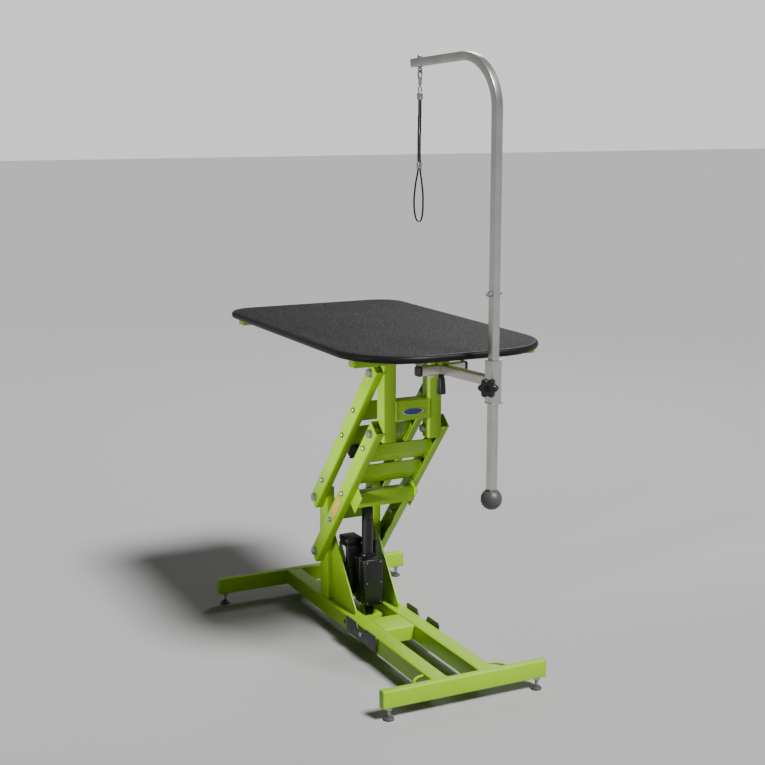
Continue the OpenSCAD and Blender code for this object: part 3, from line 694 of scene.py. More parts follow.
# Outline in X and N, drawn along the arm
across_arm = Matrix(((1, 0, 0, 0), (0, 0, 1, 0), (0, 1, 0, 0), (0, 0, 0, 1)))
for level, joint in (("lower", "lift"), ("upper", "upper_arms_turn")):
    where = on_arms(joint)
    for side, hand in ((1, "right"), (-1, "left")):
        arm = bmesh.new()
        section = fillet([(arm_in, arm_half, 0.8 * mm), (arm_in, arm_half - arm_wall, 0.8 * mm),
                          (arm_out - arm_wall, arm_half - arm_wall, 2 * mm),
                          (arm_out - arm_wall, arm_wall - arm_half, 2 * mm),
                          (arm_in, arm_wall - arm_half, 0.8 * mm), (arm_in, -arm_half, 0.8 * mm),
                          (arm_out, -arm_half, 5 * mm), (arm_out, arm_half, 5 * mm)], 3)
        section = [(side * p[0], p[1]) for p in section]
        add_prism(arm, section, where @ across_arm @ Matrix.Translation((0, 0, -arm_end)),
                  arm_long + 2 * arm_end, 0.7 * mm)
        for s in (0, arm_long):
            hub = where @ Matrix.Translation((0, s, 0)) @ Matrix.Rotation(side * math.pi / 2, 4, "Y")
            rings = []
            for r, z in ((boss_r - 1 * mm, arm_in), (boss_r, arm_in + 1 * mm), (boss_r, arm_out - arm_wall),
                         (pin_r + 0.3 * mm, arm_out - arm_wall), (pin_r + 0.3 * mm, arm_in)):
                rings.append([hub @ Vector((r * math.cos(2 * math.pi * k / 40),
                                            r * math.sin(2 * math.pi * k / 40), z)) for k in range(40)])
            loft(arm, rings, ring_closed=False)
        part = "%s_arm_%s" % (level, hand)
        add_piece(part + "_channel", arm, green, level + "_arms", "green_paint", part)


# ---- Cross panels and lift channel ----
# Folded plates with a shallow ridge are bolted between each pair of arms. The
# actuator pushes on the ears of a deep channel between the lower pair.
panel_thick = 3 * mm
ridge = 9 * mm
panel_n = 6 * mm
panels = {"lower_panel_high": ("lift", 478, 564), "lower_panel_low": ("lift", 370, 464),
          "upper_panel_high": ("upper_arms_turn", 396, 488), "upper_panel_low": ("upper_arms_turn", 276, 368)}
# Outline in S and N, drawn across the arms
along_arm = Matrix(((0, 0, 1, 0), (1, 0, 0, 0), (0, 1, 0, 0), (0, 0, 0, 1)))
for part, (joint, start, stop) in panels.items():
    where = on_arms(joint)
    s0, s1 = start * mm, stop * mm
    middle = (s0 + s1) / 2
    plate = bmesh.new()
    fold = [(s0, panel_n, 0.6 * mm), (middle, panel_n + ridge, 10 * mm), (s1, panel_n, 0.6 * mm),
            (s1, panel_n + panel_thick, 0.6 * mm), (middle, panel_n + ridge + panel_thick, 13 * mm),
            (s0, panel_n + panel_thick, 0.6 * mm)]
    add_prism(plate, fillet(fold, 6), where @ Matrix.Translation((panel_thick - arm_in, 0, 0)) @ along_arm,
              2 * (arm_in - panel_thick), 0.5 * mm)
    for x in (arm_in - panel_thick, -arm_in):
        tab = [(s, n * mm, 6 * mm) for s, n in ((s0 + 4 * mm, -18), (s1 - 4 * mm, -18),
                                                (s1 - 4 * mm, 20), (s0 + 4 * mm, 20))]
        on_face = where @ Matrix.Translation((x, 0, 0)) @ along_arm
        add_prism(plate, fillet(tab), on_face, panel_thick, 0.6 * mm)
    add_piece(part + "_plate", plate, green, part.split("_")[0] + "_arms", "green_paint", part)
softened("lift_channel", "lift_channel_ears", green, "lower_arms", "green_paint", 0.9 * mm)


# ---- Pivot pins and bolts ----
# Zinc plated hex bolts with round washers. One tree sets a head, its crown and its
# washer on every point, turned outwards by the sign that the point carries.
def bolt_tree():
    tree = bpy.data.node_groups.new("hex_bolts", "GeometryNodeTree")
    tree_socket(tree, "Places", "NodeSocketGeometry")
    for name, value in (("Flats", 14 * mm), ("Head", 5 * mm), ("Washer", 9 * mm), ("Washer thick", 1 * mm)):
        tree_socket(tree, name, "NodeSocketFloat", value)
    tree_socket(tree, "Finish", "NodeSocketMaterial")
    tree.interface.new_socket("Bolts", in_out="OUTPUT", socket_type="NodeSocketGeometry")
    source, sink = tree.nodes.new("NodeGroupInput"), tree.nodes.new("NodeGroupOutput")
    join = tree.links.new

    def sum_of(a, b, operation="ADD", factor=None):
        made = tree_node(tree, "ShaderNodeMath", operation=operation)
        join(a, made.inputs[0])
        if factor is None:
            join(b, made.inputs[1])
        else:
            made.inputs[1].default_value = factor
        return made.outputs[0]

    def lifted(shape, height):
        spot = tree_node(tree, "ShaderNodeCombineXYZ")
        join(height, spot.inputs["Z"])
        moved = tree_node(tree, "GeometryNodeTransform")
        join(shape, moved.inputs["Geometry"])
        join(spot.outputs[0], moved.inputs["Translation"])
        return moved.outputs[0]

    corner_r = sum_of(source.outputs["Flats"], None, "MULTIPLY", 0.5 / math.cos(math.pi / 6))
    flat_r = sum_of(source.outputs["Flats"], None, "MULTIPLY", 0.49)
    crown_r = sum_of(source.outputs["Flats"], None, "MULTIPLY", 0.40)
    washer = tree_node(tree, "GeometryNodeMeshCylinder", Vertices=40)
    join(source.outputs["Washer"], washer.inputs["Radius"])
    join(source.outputs["Washer thick"], washer.inputs["Depth"])
    washer_up = lifted(washer.outputs["Mesh"], sum_of(source.outputs["Washer thick"], None, "MULTIPLY", 0.5))
    head = tree_node(tree, "GeometryNodeMeshCylinder", Vertices=6)
    join(corner_r, head.inputs["Radius"])
    join(source.outputs["Head"], head.inputs["Depth"])
    half = sum_of(source.outputs["Head"], None, "MULTIPLY", 0.5)
    head_up = lifted(head.outputs["Mesh"], sum_of(source.outputs["Washer thick"], half))
    crown = tree_node(tree, "GeometryNodeMeshCone", Vertices=32)
    join(flat_r, crown.inputs["Radius Bottom"])
    join(crown_r, crown.inputs["Radius Top"])
    crown.inputs["Depth"].default_value = 0.9 * mm
    crown_up = lifted(crown.outputs["Mesh"], sum_of(source.outputs["Washer thick"], source.outputs["Head"]))
    whole = tree_node(tree, "GeometryNodeJoinGeometry")
    for shape in (washer_up, head_up, crown_up):
        join(shape, whole.inputs[0])
    way = tree_node(tree, "GeometryNodeInputNamedAttribute", data_type="FLOAT", Name="out")
    tilt = sum_of(way.outputs[0], None, "MULTIPLY", math.pi / 2)
    euler = tree_node(tree, "ShaderNodeCombineXYZ")
    join(tilt, euler.inputs["Y"])
    spin = tree_node(tree, "FunctionNodeRandomValue", data_type="FLOAT")
    spin.inputs[2].default_value = 0
    spin.inputs[3].default_value = math.pi / 3
    spin.inputs["Seed"].default_value = 9
    twist = tree_node(tree, "ShaderNodeCombineXYZ")
    join(spin.outputs[1], twist.inputs["Z"])
    spots = tree_node(tree, "GeometryNodeInstanceOnPoints")
    join(source.outputs["Places"], spots.inputs["Points"])
    join(whole.outputs[0], spots.inputs["Instance"])
    join(euler.outputs[0], spots.inputs["Rotation"])
    turned = tree_node(tree, "GeometryNodeRotateInstances")
    join(spots.outputs[0], turned.inputs["Instances"])
    join(twist.outputs[0], turned.inputs["Rotation"])
    real = tree_node(tree, "GeometryNodeRealizeInstances")
    paint = tree_node(tree, "GeometryNodeSetMaterial")
    join(turned.outputs[0], real.inputs[0])
    join(real.outputs[0], paint.inputs["Geometry"])
    join(source.outputs["Finish"], paint.inputs["Material"])
    join(paint.outputs[0], sink.inputs[0])
    return tree


hex_bolts = bolt_tree()


def bolt_heads(name, places, flats, head, washer, washer_thick):
    mesh = bpy.data.meshes.new(name)
    mesh.from_pydata([place for place, way in places], [], [])
    out = mesh.attributes.new("out", "FLOAT", "POINT")
    for i, (place, way) in enumerate(places):
        out.data[i].value = way
    return grown(name, mesh, hex_bolts, {"Flats": flats, "Head": head, "Washer": washer,
                                         "Washer thick": washer_thick, "Finish": zinc})


def bolt_set(name, body, part, centres, outer, inner, flats, head, washer, shank_r):
    build = bmesh.new()
    outside = [((side * outer, c.y, c.z), side) for c in centres for side in (-1, 1)]
    inside = [((side * inner, c.y, c.z), -side) for c in centres for side in (-1, 1)]
    for mesh in (bolt_heads(name, outside, flats, head, washer, 2 * mm if washer > 10 * mm else 1 * mm),
                 bolt_heads(name + "_nuts", inside, flats, head, washer, 1 * mm)):
        build.from_mesh(mesh)
        bpy.data.meshes.remove(mesh)
    for c in centres:
        for side in (-1, 1):
            add_lathe(build, [(shank_r * 0.85, inner - head - 3 * mm), (shank_r, inner - head - 2 * mm),
                              (shank_r, outer + mm)], Matrix.Translation((0, c.y, c.z))
                      @ Matrix.Rotation(side * math.pi / 2, 4, "Y"), 32)
    return add_piece(name, build, zinc, body, "zinc", part)


lift_pivot = Vector(joints["lift"]["pos_m"])
upper_pivot = Vector(joints["upper_arms_turn"]["pos_m"])
top_pivot = Vector(joints["table_level"]["pos_m"])
pivot_gap = upper_pivot - lift_pivot
frame_post_low, frame_post_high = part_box("frame_post_right")
bolt_set("base_pivot_pins", "base", "base_pins", [lift_pivot, upper_pivot], arm_out + 0.3 * mm,
         post_low.x, 21 * mm, 8 * mm, 14 * mm, pin_r)
bolt_set("top_pivot_pins", "table", "top_pins", [top_pivot, top_pivot + pivot_gap], arm_out + 0.3 * mm,
         frame_post_low.x, 21 * mm, 8 * mm, 14 * mm, pin_r)
lower_spots = [on_arms("lift") @ Vector((0, s * mm, 0)) for s in (176, 313, 542)]
upper_spots = [on_arms("upper_arms_turn") @ Vector((0, s * mm, 0)) for s in (89, 320, 440)]
bolt_set("lower_arm_fixings", "lower_arms", "lower_arm_bolts", lower_spots, arm_out, arm_in - panel_thick,
         14 * mm, 5 * mm, 9 * mm, 5 * mm)
bolt_set("upper_arm_fixings", "upper_arms", "upper_arm_bolts", upper_spots, arm_out, arm_in - panel_thick,
         14 * mm, 5 * mm, 9 * mm, 5 * mm)
act_pivot = Vector(joints["actuator_tilt"]["pos_m"])
foot_pin = bmesh.new()
add_lathe(foot_pin, [(5 * mm, -25 * mm), (6 * mm, -24 * mm), (6 * mm, 24 * mm), (5 * mm, 25 * mm)],
          Matrix.Translation(act_pivot) @ out_x, 32)
add_piece("actuator_foot_pin", foot_pin, zinc, "base", "zinc")


# ---- Blank arm label ----
# A rectangular sticker with rounded corners and a printed border, left blank.
label_print = moulded("label_yellow", (0.55, 0.36, 0.03), 0.4, 1500, 0.0001)
border_print = moulded("label_border", (0.03, 0.03, 0.03), 0.4, 1500, 0.0001)
where = on_arms("lift")
for name, inset, thick, finish in (("arm_label_border", 0, 0.4, border_print),
                                   ("arm_label_face", 1.6, 0.55, label_print)):
    s0, s1, n = (198 + inset) * mm, (290 - inset) * mm, (17 - inset) * mm
    sticker = bmesh.new()
    add_prism(sticker, fillet([(s0, -n, 3 * mm), (s1, -n, 3 * mm), (s1, n, 3 * mm), (s0, n, 3 * mm)]),
              where @ Matrix.Translation((-arm_out - thick * mm, 0, 0)) @ along_arm, thick * mm, 0)
    add_piece(name, sticker, finish, "lower_arms", "label", *(["arm_label"] if inset else []))


# ---- Actuator ----
# A painted gear housing in two shells, held by small screws, with a motor box that
# carries a blank plate, a slim limit switch tube and a foot eye. The ram slides in it.
black_paint = moulded("black_enamel", (0.005, 0.005, 0.0055), 0.36, 420)
silver_plate = moulded("silver_plate", (0.62, 0.64, 0.67), 0.4, 1200, 0.0001)


def at_act(x, y, z):
    return act_pivot + Vector((x * mm, y * mm, z * mm))


def screw_heads(build, places, turn, radius=2.2 * mm):
    for place in places:
        where = Matrix.Translation(place) @ turn
        add_lathe(build, [(radius, -0.5 * mm), (radius, 0.7 * mm), (radius * 0.8, 1.2 * mm),
                          (radius * 0.4, 1.25 * mm), (radius * 0.35, 0.5 * mm)], where, 20)


housing = bmesh.new()
add_box(housing, at_act(-32, -50, 28), at_act(30, -12.4, 177), 5 * mm, 3)
add_box(housing, at_act(-32, -11.6, 28), at_act(30, 26, 177), 5 * mm, 3)
add_box(housing, at_act(-29, -46, 31), at_act(27, 22, 174), 2 * mm, 2)
add_box(housing, at_act(-24, -46, 176), at_act(24, 22, 179), 2 * mm, 2)
upright = Matrix.Translation(act_pivot)
add_lathe(housing, [(22 * mm, 176 * mm), (22.5 * mm, 177 * mm), (22.5 * mm, 182 * mm), (21.5 * mm, 184 * mm),
                    (19.5 * mm, 185 * mm), (18.1 * mm, 185 * mm), (18.1 * mm, 182 * mm)], upright, 56)
add_lathe(housing, [(12 * mm, 28 * mm), (14 * mm, 30 * mm), (14 * mm, 86 * mm), (11 * mm, 91 * mm),
                    (6 * mm, 92 * mm)], Matrix.Translation(at_act(30, -24, 0)), 40)
add_lathe(housing, [(6.5 * mm, 98 * mm), (7.5 * mm, 99 * mm), (7.5 * mm, 208 * mm), (6 * mm, 208.5 * mm),
                    (6 * mm, 211 * mm), (7.4 * mm, 211.5 * mm), (7.4 * mm, 216 * mm), (5 * mm, 218 * mm)],
          Matrix.Translation(at_act(32, 12, 0)), 32)
for z in (112, 150, 190):
    add_box(housing, at_act(24, 7, z), at_act(32, 17, z + 5), 0.8 * mm)
add_box(housing, at_act(-13, -10, 0), at_act(13, 10, 31), 2 * mm)
across = Matrix.Translation(act_pivot) @ out_x
eye_r = 13 * mm
rings = []
for r, z in ((eye_r - 1 * mm, -13 * mm), (eye_r, -12 * mm), (eye_r, 12 * mm), (eye_r - 1 * mm, 13 * mm),
             (6.2 * mm, 13 * mm), (6.2 * mm, -13 * mm)):
    rings.append([across @ Vector((r * math.cos(2 * math.pi * k / 40), r * math.sin(2 * math.pi * k / 40), z))
                  for k in range(40)])
loft(housing, rings, ring_closed=False)
for z in (58, 96, 134):
    add_box(housing, at_act(-33.2, -44, z), at_act(-31, -18, z + 2.4), 0.5 * mm)
add_piece("gear_housing", housing, black_paint, "actuator", "black_paint", "actuator_body", hard_angle=30)
motor = bmesh.new()
add_box(motor, at_act(-56, 27, 132), at_act(-2, 92, 208), 5 * mm, 3)
add_box(motor, at_act(-55.4, 27.6, 209), at_act(-2.6, 91.4, 228), 4 * mm, 3)
add_box(motor, at_act(-52, 31, 200), at_act(-6, 88, 214), 1 * mm)
add_lathe(motor, [(19 * mm, 42 * mm), (23 * mm, 44 * mm), (24 * mm, 48 * mm), (24 * mm, 56 * mm),
                  (23.2 * mm, 57 * mm), (23.2 * mm, 59 * mm), (24 * mm, 60 * mm), (24 * mm, 124 * mm),
                  (22 * mm, 133 * mm)], Matrix.Translation(at_act(-29, 60, 0)), 56)
add_box(motor, at_act(-50, 29, 62), at_act(-8, 86, 136), 6 * mm, 3)
for k in range(9):
    add_box(motor, at_act(-50 + 5 * k, 25.6, 150), at_act(-48 + 5 * k, 28, 196), 0.4 * mm)
add_piece("motor_box", motor, black_paint, "actuator", "black_paint", "actuator_motor", hard_angle=30)
plate = bmesh.new()
corners = [at_act(0, y, z) for y, z in ((38, 152), (82, 152), (82, 200), (38, 200))]
add_prism(plate, fillet([(corner.y, corner.z, 2 * mm) for corner in corners]),
          Matrix.Translation((at_act(-56.4, 0, 0).x, 0, 0)) @ yz_plane, 0.5 * mm, 0)
add_piece("motor_plate", plate, silver_plate, "actuator", "label")
to_left = Matrix.Rotation(-math.pi / 2, 4, "Y")
to_front = Matrix.Rotation(math.pi / 2, 4, "X")
screws = bmesh.new()
screw_heads(screws, [at_act(-32, y, z) for y in (-42, -20, 18) for z in (36, 168)], to_left)
screw_heads(screws, [at_act(x, -50, z) for x in (-24, 22) for z in (38, 102, 168)], to_front)
screw_heads(screws, [at_act(-56, y, z) for y in (34, 86) for z in (140, 220)], to_left, 1.8 * mm)
add_piece("housing_screws", screws, zinc, "actuator", "zinc")
ram = bmesh.new()
ram_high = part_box("actuator_ram")[1]
head_z = ram_high.z - 13 * mm - act_pivot.z
add_lathe(ram, [(16 * mm, 168 * mm), (17.5 * mm, 170 * mm), (17.5 * mm, head_z - 66 * mm),
                (16.6 * mm, head_z - 64.8 * mm), (16.6 * mm, head_z - 62 * mm), (17.5 * mm, head_z - 61 * mm),
                (17.5 * mm, head_z - 29 * mm), (15.5 * mm, head_z - 26 * mm), (12 * mm, head_z - 25.6 * mm),
                (12 * mm, head_z - 8 * mm)], upright, 64)
head = Matrix.Translation((act_pivot.x, act_pivot.y, act_pivot.z + head_z)) @ out_x
add_lathe(ram, [(12 * mm, -13 * mm), (13 * mm, -12 * mm), (13 * mm, 12 * mm), (12 * mm, 13 * mm)], head, 40)
add_lathe(ram, [(5 * mm, -27 * mm), (6 * mm, -26 * mm), (6 * mm, 26 * mm), (5 * mm, 27 * mm)], head, 32)
add_piece("ram_tube", ram, black_paint, "ram", "black_paint", "actuator_ram")


# ---- Control box ----
# A moulded box with a lid and a finned lower face, screwed under the upper panel.
where = on_arms("upper_arms_turn")
control = bmesh.new()
s1 = 276 * mm
for n0, n1 in ((-22, 9), (10, 18)):
    shell = bmesh.new()
    add_box(shell, (-70 * mm, s1 - 62 * mm, n0 * mm), (70 * mm, s1 - 0.4 * mm, n1 * mm), 4 * mm, 3)
    merge(control, shell, where)
inner = bmesh.new()
add_box(inner, (-67 * mm, s1 - 59 * mm, 4 * mm), (67 * mm, s1 - 3 * mm, 14 * mm), 1 * mm)
for k in range(12):
    fin = -58 + 10 * k
    add_box(inner, (fin * mm, s1 - 54 * mm, -23.4 * mm), ((fin + 3) * mm, s1 - 10 * mm, -21 * mm), 0.5 * mm)
for x in (-62, 62):
    for s in (54, 8):
        add_lathe(inner, [(2.6 * mm, 17 * mm), (2.6 * mm, 18.8 * mm), (1.6 * mm, 19.2 * mm)],
                  Matrix.Translation((x * mm, s1 - s * mm, 0)), 20)
merge(control, inner, where)
add_piece("control_box_case", control, black_moulding, "upper_arms", "black_plastic", "control_box")


# ---- Frame under the top ----
# Two square posts hang from the rails under the board, joined by a cross plate with
# an oval badge and stiffened by cut plates. Flat tubes run along and across the board.
posts = bmesh.new()
for part in ("frame_post_left", "frame_post_right"):
    add_tube(posts, *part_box(part), 2, wall=3 * mm)
add_piece("frame_posts", posts, green, "table", "green_paint", "frame_post_left", "frame_post_right")
cross = bmesh.new()
add_tube(cross, *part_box("frame_plate"), 0, corner=3 * mm, wall=3 * mm)
add_piece("frame_cross_plate", cross, green, "table", "green_paint", "frame_plate")
softened("frame_gussets", "frame_gusset_plates", green, "table", "green_paint", 0.8 * mm)
rail_wide = frame_post_high.x - frame_post_low.x
rails = bmesh.new()
low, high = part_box("under_rails")
add_tube(rails, low, (low.x + rail_wide, high.y, high.z), 1, corner=2.5 * mm)
add_tube(rails, (high.x - rail_wide, low.y, low.z), high, 1, corner=2.5 * mm)
add_piece("board_rails", rails, green, "table", "green_paint", "under_rails")
beam_low, beam_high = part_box("under_beams")
beam_deep = 40 * mm
beam_tall = 20 * mm
beams = bmesh.new()
for y0 in (beam_low.y, beam_high.y - beam_deep):
    add_tube(beams, (beam_low.x, y0, beam_high.z - beam_tall), (beam_high.x, y0 + beam_deep, beam_high.z), 0,
             corner=2.5 * mm)
clamp_pivot = Vector(joints["bracket_swing"]["pos_m"])
on_bracket = Matrix.Translation((clamp_pivot.x, clamp_pivot.y, 0)) @ Matrix.Rotation(swing, 4, "Z")
block = bmesh.new()
block_top = beam_high.z - beam_tall + 1 * mm
add_box(block, (-15 * mm, -18 * mm, beam_low.z), (15 * mm, 14 * mm, block_top), 1.5 * mm)
merge(beams, block, on_bracket)
add_piece("board_beams", beams, green, "table", "green_paint", "under_beams")
caps = bmesh.new()
for y0 in (beam_low.y, beam_high.y - beam_deep):
    for x, way in ((beam_low.x, -1), (beam_high.x, 1)):
        add_box(caps, (x - 1.6 * mm, y0 + 0.6 * mm, beam_high.z - beam_tall + 0.6 * mm),
                (x + 1.6 * mm, y0 + beam_deep - 0.6 * mm, beam_high.z - 0.6 * mm), 0.8 * mm)
add_piece("beam_end_caps", caps, green, "table", "green_paint")
plate_low, plate_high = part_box("frame_plate")
weld("frame_welds", [
    ((plate_high.x, plate_low.y + mm, plate_low.z + 3 * mm),
     (plate_high.x, plate_low.y + mm, plate_high.z - 3 * mm)),
    ((plate_high.x, plate_high.y, plate_low.z + 3 * mm), (plate_high.x, plate_high.y, plate_high.z - 3 * mm)),
    ((frame_post_low.x + 3 * mm, frame_post_low.y, frame_post_high.z - mm),
     (frame_post_high.x - 3 * mm, frame_post_low.y, frame_post_high.z - mm)),
    ((frame_post_high.x, frame_post_low.y + 3 * mm, frame_post_high.z - mm),
     (frame_post_high.x, frame_post_high.y - 3 * mm, frame_post_high.z - mm)),
], "table")
badge_blue = moulded("badge_blue", (0.012, 0.04, 0.15), 0.22, 90, 0.00005)
badge_low, badge_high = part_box("frame_badge")
badge_mid = (badge_low + badge_high) / 2
for name, grow, deep, finish in (("badge_rim", 1.0, 1.4, zinc), ("badge_face", 0.86, 1.9, badge_blue)):
    disc = bmesh.new()
    rings = []
    for share, proud in ((1.0, 0), (1.0, deep - 0.5), (0.96, deep), (0.5, deep + 0.15)):
        y = badge_high.y - proud * mm
        rings.append([Vector((badge_mid.x + 34 * mm * grow * share * math.cos(2 * math.pi * k / 64), y,
                              badge_mid.z + 10.6 * mm * grow * share * math.sin(2 * math.pi * k / 64)))
                      for k in range(64)])
    loft(disc, rings)
    add_piece(name, disc, finish, "table", "badge", *(["frame_badge"] if name == "badge_face" else []))


# ---- Top ----
# A plywood board under a grippy black rubber sheet that wraps a rounded nose all
# the way round. The front corners are wide curves and the rear ones are tighter.
def pebbled_rubber():
    material, shader = new_material("pebbled_rubber", (0.03, 0.03, 0.031), 0.55)
    where = object_coords(material)
    grains = node(material, "ShaderNodeTexVoronoi", Scale=190)
    link(material, where, grains.inputs["Vector"])
    fine = noise(material, where, 330, 4)
    broad = noise(material, where, 5, 4)
    mixed = node(material, "ShaderNodeMath", operation="MULTIPLY")
    link(material, grains.outputs["Distance"], mixed.inputs[0])
    link(material, fine, mixed.inputs[1])
    # Painted sheen: light grey specks on the pebble grain stand in for light catching the rubber, on top of
    # its real texture. A broad patchy tone then scales them.
    grain_and_painted_sheen = ramp(material, mixed.outputs[0], (0.11, 0.11, 0.112), (0.004, 0.004, 0.0045), 0.04, 0.20)
    wear_and_painted_sheen = node(material, "ShaderNodeMix", data_type="RGBA", blend_type="MULTIPLY")
    wear_and_painted_sheen.inputs["Factor"].default_value = 0.5
    link(material, grain_and_painted_sheen, wear_and_painted_sheen.inputs["A"])
    link(material, ramp(material, broad, (0.7, 0.7, 0.7), (1.15, 1.15, 1.15)), wear_and_painted_sheen.inputs["B"])
    link(material, wear_and_painted_sheen.outputs["Result"], shader.inputs["Base Color"])
    link(material, spread(material, fine, 0.5, 0.75), shader.inputs["Roughness"])
    shader.inputs["Specular IOR Level"].default_value = 0.12
    bump(material, shader, mixed.outputs[0], 0.0016, 0.8)
    return material


def plywood():
    material, shader = new_material("birch_plywood", (0.42, 0.30, 0.18), 0.6)
    where = object_coords(material, (30, 2, 200))
    grain = noise(material, where, 1, 5)
    link(material, ramp(material, grain, (0.34, 0.23, 0.13), (0.50, 0.37, 0.23)), shader.inputs["Base Color"])
    link(material, spread(material, grain, 0.5, 0.7), shader.inputs["Roughness"])
    bump(material, shader, grain, 0.0003, 0.5)
    return material


rubber = pebbled_rubber()
low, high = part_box("top_cover")
front_r, rear_r = 195 * mm, 90 * mm
half = high.x
board_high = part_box("top_board")[1]


def top_ring(inset, z):
    ring = []
    for cx, cy, r, start in ((half - rear_r, high.y - rear_r, rear_r, 0),
                             (rear_r - half, high.y - rear_r, rear_r, 90),
                             (front_r - half, low.y + front_r, front_r, 180),
                             (half - front_r, low.y + front_r, front_r, 270)):
        for k in range(25):
            turn = math.radians(start + 90 * k / 24)
            ring.append(Vector((cx + (r - inset) * math.cos(turn), cy + (r - inset) * math.sin(turn), z)))
    return ring


cover = bmesh.new()
under = board_high.z
nose = [(10.0, 0.0), (6.5, 0.0), (3.4, 1.6), (1.2, 4.4), (0.1, 8.2), (0.0, 11.0), (0.9, 14.6), (2.9, 17.6),
        (5.8, 19.4), (9.4, 20.0), (14.0, 20.0)]
rings = [top_ring(10 * mm, under)] + [top_ring(inset * mm, low.z + z * mm) for inset, z in nose]
loft(cover, rings)
smooth_rubber = moulded("smooth_rubber", (0.008, 0.008, 0.0085), 0.42, 500, 0.0002)
smooth_rubber.node_tree.nodes["Principled BSDF"].inputs["Specular IOR Level"].default_value = 0.15
add_piece("rubber_nose", cover, smooth_rubber, "table", "black_rubber", hard_angle=50)
face = bmesh.new()
rings = [top_ring(inset * mm, high.z + z * mm)
         for inset, z in ((9.6, -0.5), (9.4, 0.1), (10.0, 0.45), (12.0, 0.5), (60, 0.5))]
loft(face, rings)
add_piece("rubber_top", face, rubber, "table", "black_rubber", "top_cover", hard_angle=50)
edge_screws = bmesh.new()
for side in (-1, 1):
    for i in range(6):
        y = beam_low.y + 70 * mm + i * (beam_high.y - beam_low.y - 140 * mm) / 5
        spot = Vector((side * (frame_post_low.x + rail_wide / 2), y, beam_high.z - beam_tall))
        screw_heads(edge_screws, [spot], Matrix.Rotation(math.pi, 4, "X"), 3.4 * mm)
add_piece("board_screws", edge_screws, zinc, "table", "zinc")


# ---- Swinging bracket ----
# A square tube tee in satin steel. Its cross tube is clamped under the front beam,
# black caps close the ends, and a lipped sleeve at the far end holds the arm.
def satin_steel():
    material, shader = new_material("satin_steel", (0.50, 0.49, 0.46), 0.32, 1.0)
    grain = noise(material, object_coords(material, (700, 700, 10)), 1)
    scuff = noise(material, object_coords(material), 18, 5)
    colour = ramp(material, scuff, (0.50, 0.485, 0.455), (0.58, 0.565, 0.53))
    link(material, colour, shader.inputs["Base Color"])
    link(material, spread(material, scuff, 0.27, 0.36), shader.inputs["Roughness"])
    bump(material, shader, grain, 0.0001, 0.35)
    return material


steel = satin_steel()


def transformed(build, where, shape):
    part = bmesh.new()
    shape(part)
    merge(build, part, where)


tee_z = clamp_pivot.z
tube_half = 12.5 * mm
bar_half = 73 * mm
reach_long = 222 * mm
sleeve_half = 16 * mm


def tee_shape(part):
    add_tube(part, (-bar_half, -tube_half, tee_z - tube_half), (bar_half, tube_half, tee_z + tube_half), 0,
             corner=3 * mm)
    add_tube(part, (-tube_half, sleeve_half - reach_long, tee_z - tube_half),
             (tube_half, -tube_half, tee_z + tube_half), 1, corner=3 * mm)
    add_hex(part, 15 * mm, tee_z - tube_half - 8 * mm, tee_z - tube_half,
            Matrix.Translation((-35 * mm, 0, 0)))
    add_lathe(part, [(3.4 * mm, -11 * mm), (4 * mm, -10.4 * mm), (4 * mm, -8 * mm)],
              Matrix.Translation((-35 * mm, 0, tee_z - tube_half)), 24)


tee = bmesh.new()
transformed(tee, on_bracket, tee_shape)
add_piece("bracket_tubes", tee, steel, "bracket", "satin_steel", "bracket_tee")


def cap_shape(part):
    for side in (-1, 1):
        turn = Matrix.Translation((side * bar_half, 0, tee_z)) @ Matrix.Rotation(side * math.pi / 2, 4, "Y")
        rings = []
        for grow, z in ((0, 0), (1.4, 0.0), (1.6, 1.2), (1.6, 5.6), (0.8, 7.6), (-1.4, 8.8), (-7, 9.2)):
            rings.append([turn @ Vector((a, b, z * mm))
                          for a, b in rounded_rect(25 * mm + 2 * grow * mm, 25 * mm + 2 * grow * mm,
                                                   (6.5 + grow * 0.4) * mm, 6)])
        loft(part, rings)


caps = bmesh.new()
transformed(caps, on_bracket, cap_shape)
add_piece("bracket_end_caps", caps, black_moulding, "bracket", "black_plastic", "bracket_caps")
on_post = on_bracket @ Matrix.Translation((0, -reach_long, 0))
sleeve_low, sleeve_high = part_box("sleeve")
post_half = 11 * mm
knob_pivot = Vector(joints["knob_turn"]["pos_m"])
knob_axis = Vector(joints["knob_turn"]["axis"]).normalized()
at_knob = Matrix.Translation((knob_pivot.x, knob_pivot.y, knob_pivot.z)) \
    @ knob_axis.to_track_quat("Z", "Y").to_matrix().to_4x4()


def sleeve_shape(part):
    bore = post_half + 0.3 * mm
    rings = []
    for outer, z in ((18.4, 0.2), (18.5, 0.6), (18.5, 2.4), (17.9, 3.0), (16, 3.2)):
        rings.append((outer * mm, sleeve_low.z + z * mm))
    for outer, z in ((16, 3.2), (17.9, 3.0), (18.5, 2.4), (18.5, 0.6), (18.4, 0.2)):
        rings.append((outer * mm, sleeve_high.z - z * mm))
    made = [[Vector((a, b - (max(r - sleeve_half, 0)), z))
             for a, b in rounded_rect(2 * r, 2 * sleeve_half, 3 * mm)]
            for r, z in rings]
    for z in (sleeve_high.z - 0.2 * mm, sleeve_low.z + 0.2 * mm):
        made.append([Vector((a, b, z)) for a, b in rounded_rect(2 * bore, 2 * bore, 2.4 * mm)])
    loft(part, made, ring_closed=False)


holder = bmesh.new()
transformed(holder, on_post, sleeve_shape)
add_lathe(holder, [(r * mm, z * mm) for r, z in ((10, 15.8), (10, 28), (9, 29.6), (6, 30))], at_knob, 36)
add_piece("post_sleeve", holder, steel, "bracket", "satin_steel", "sleeve")


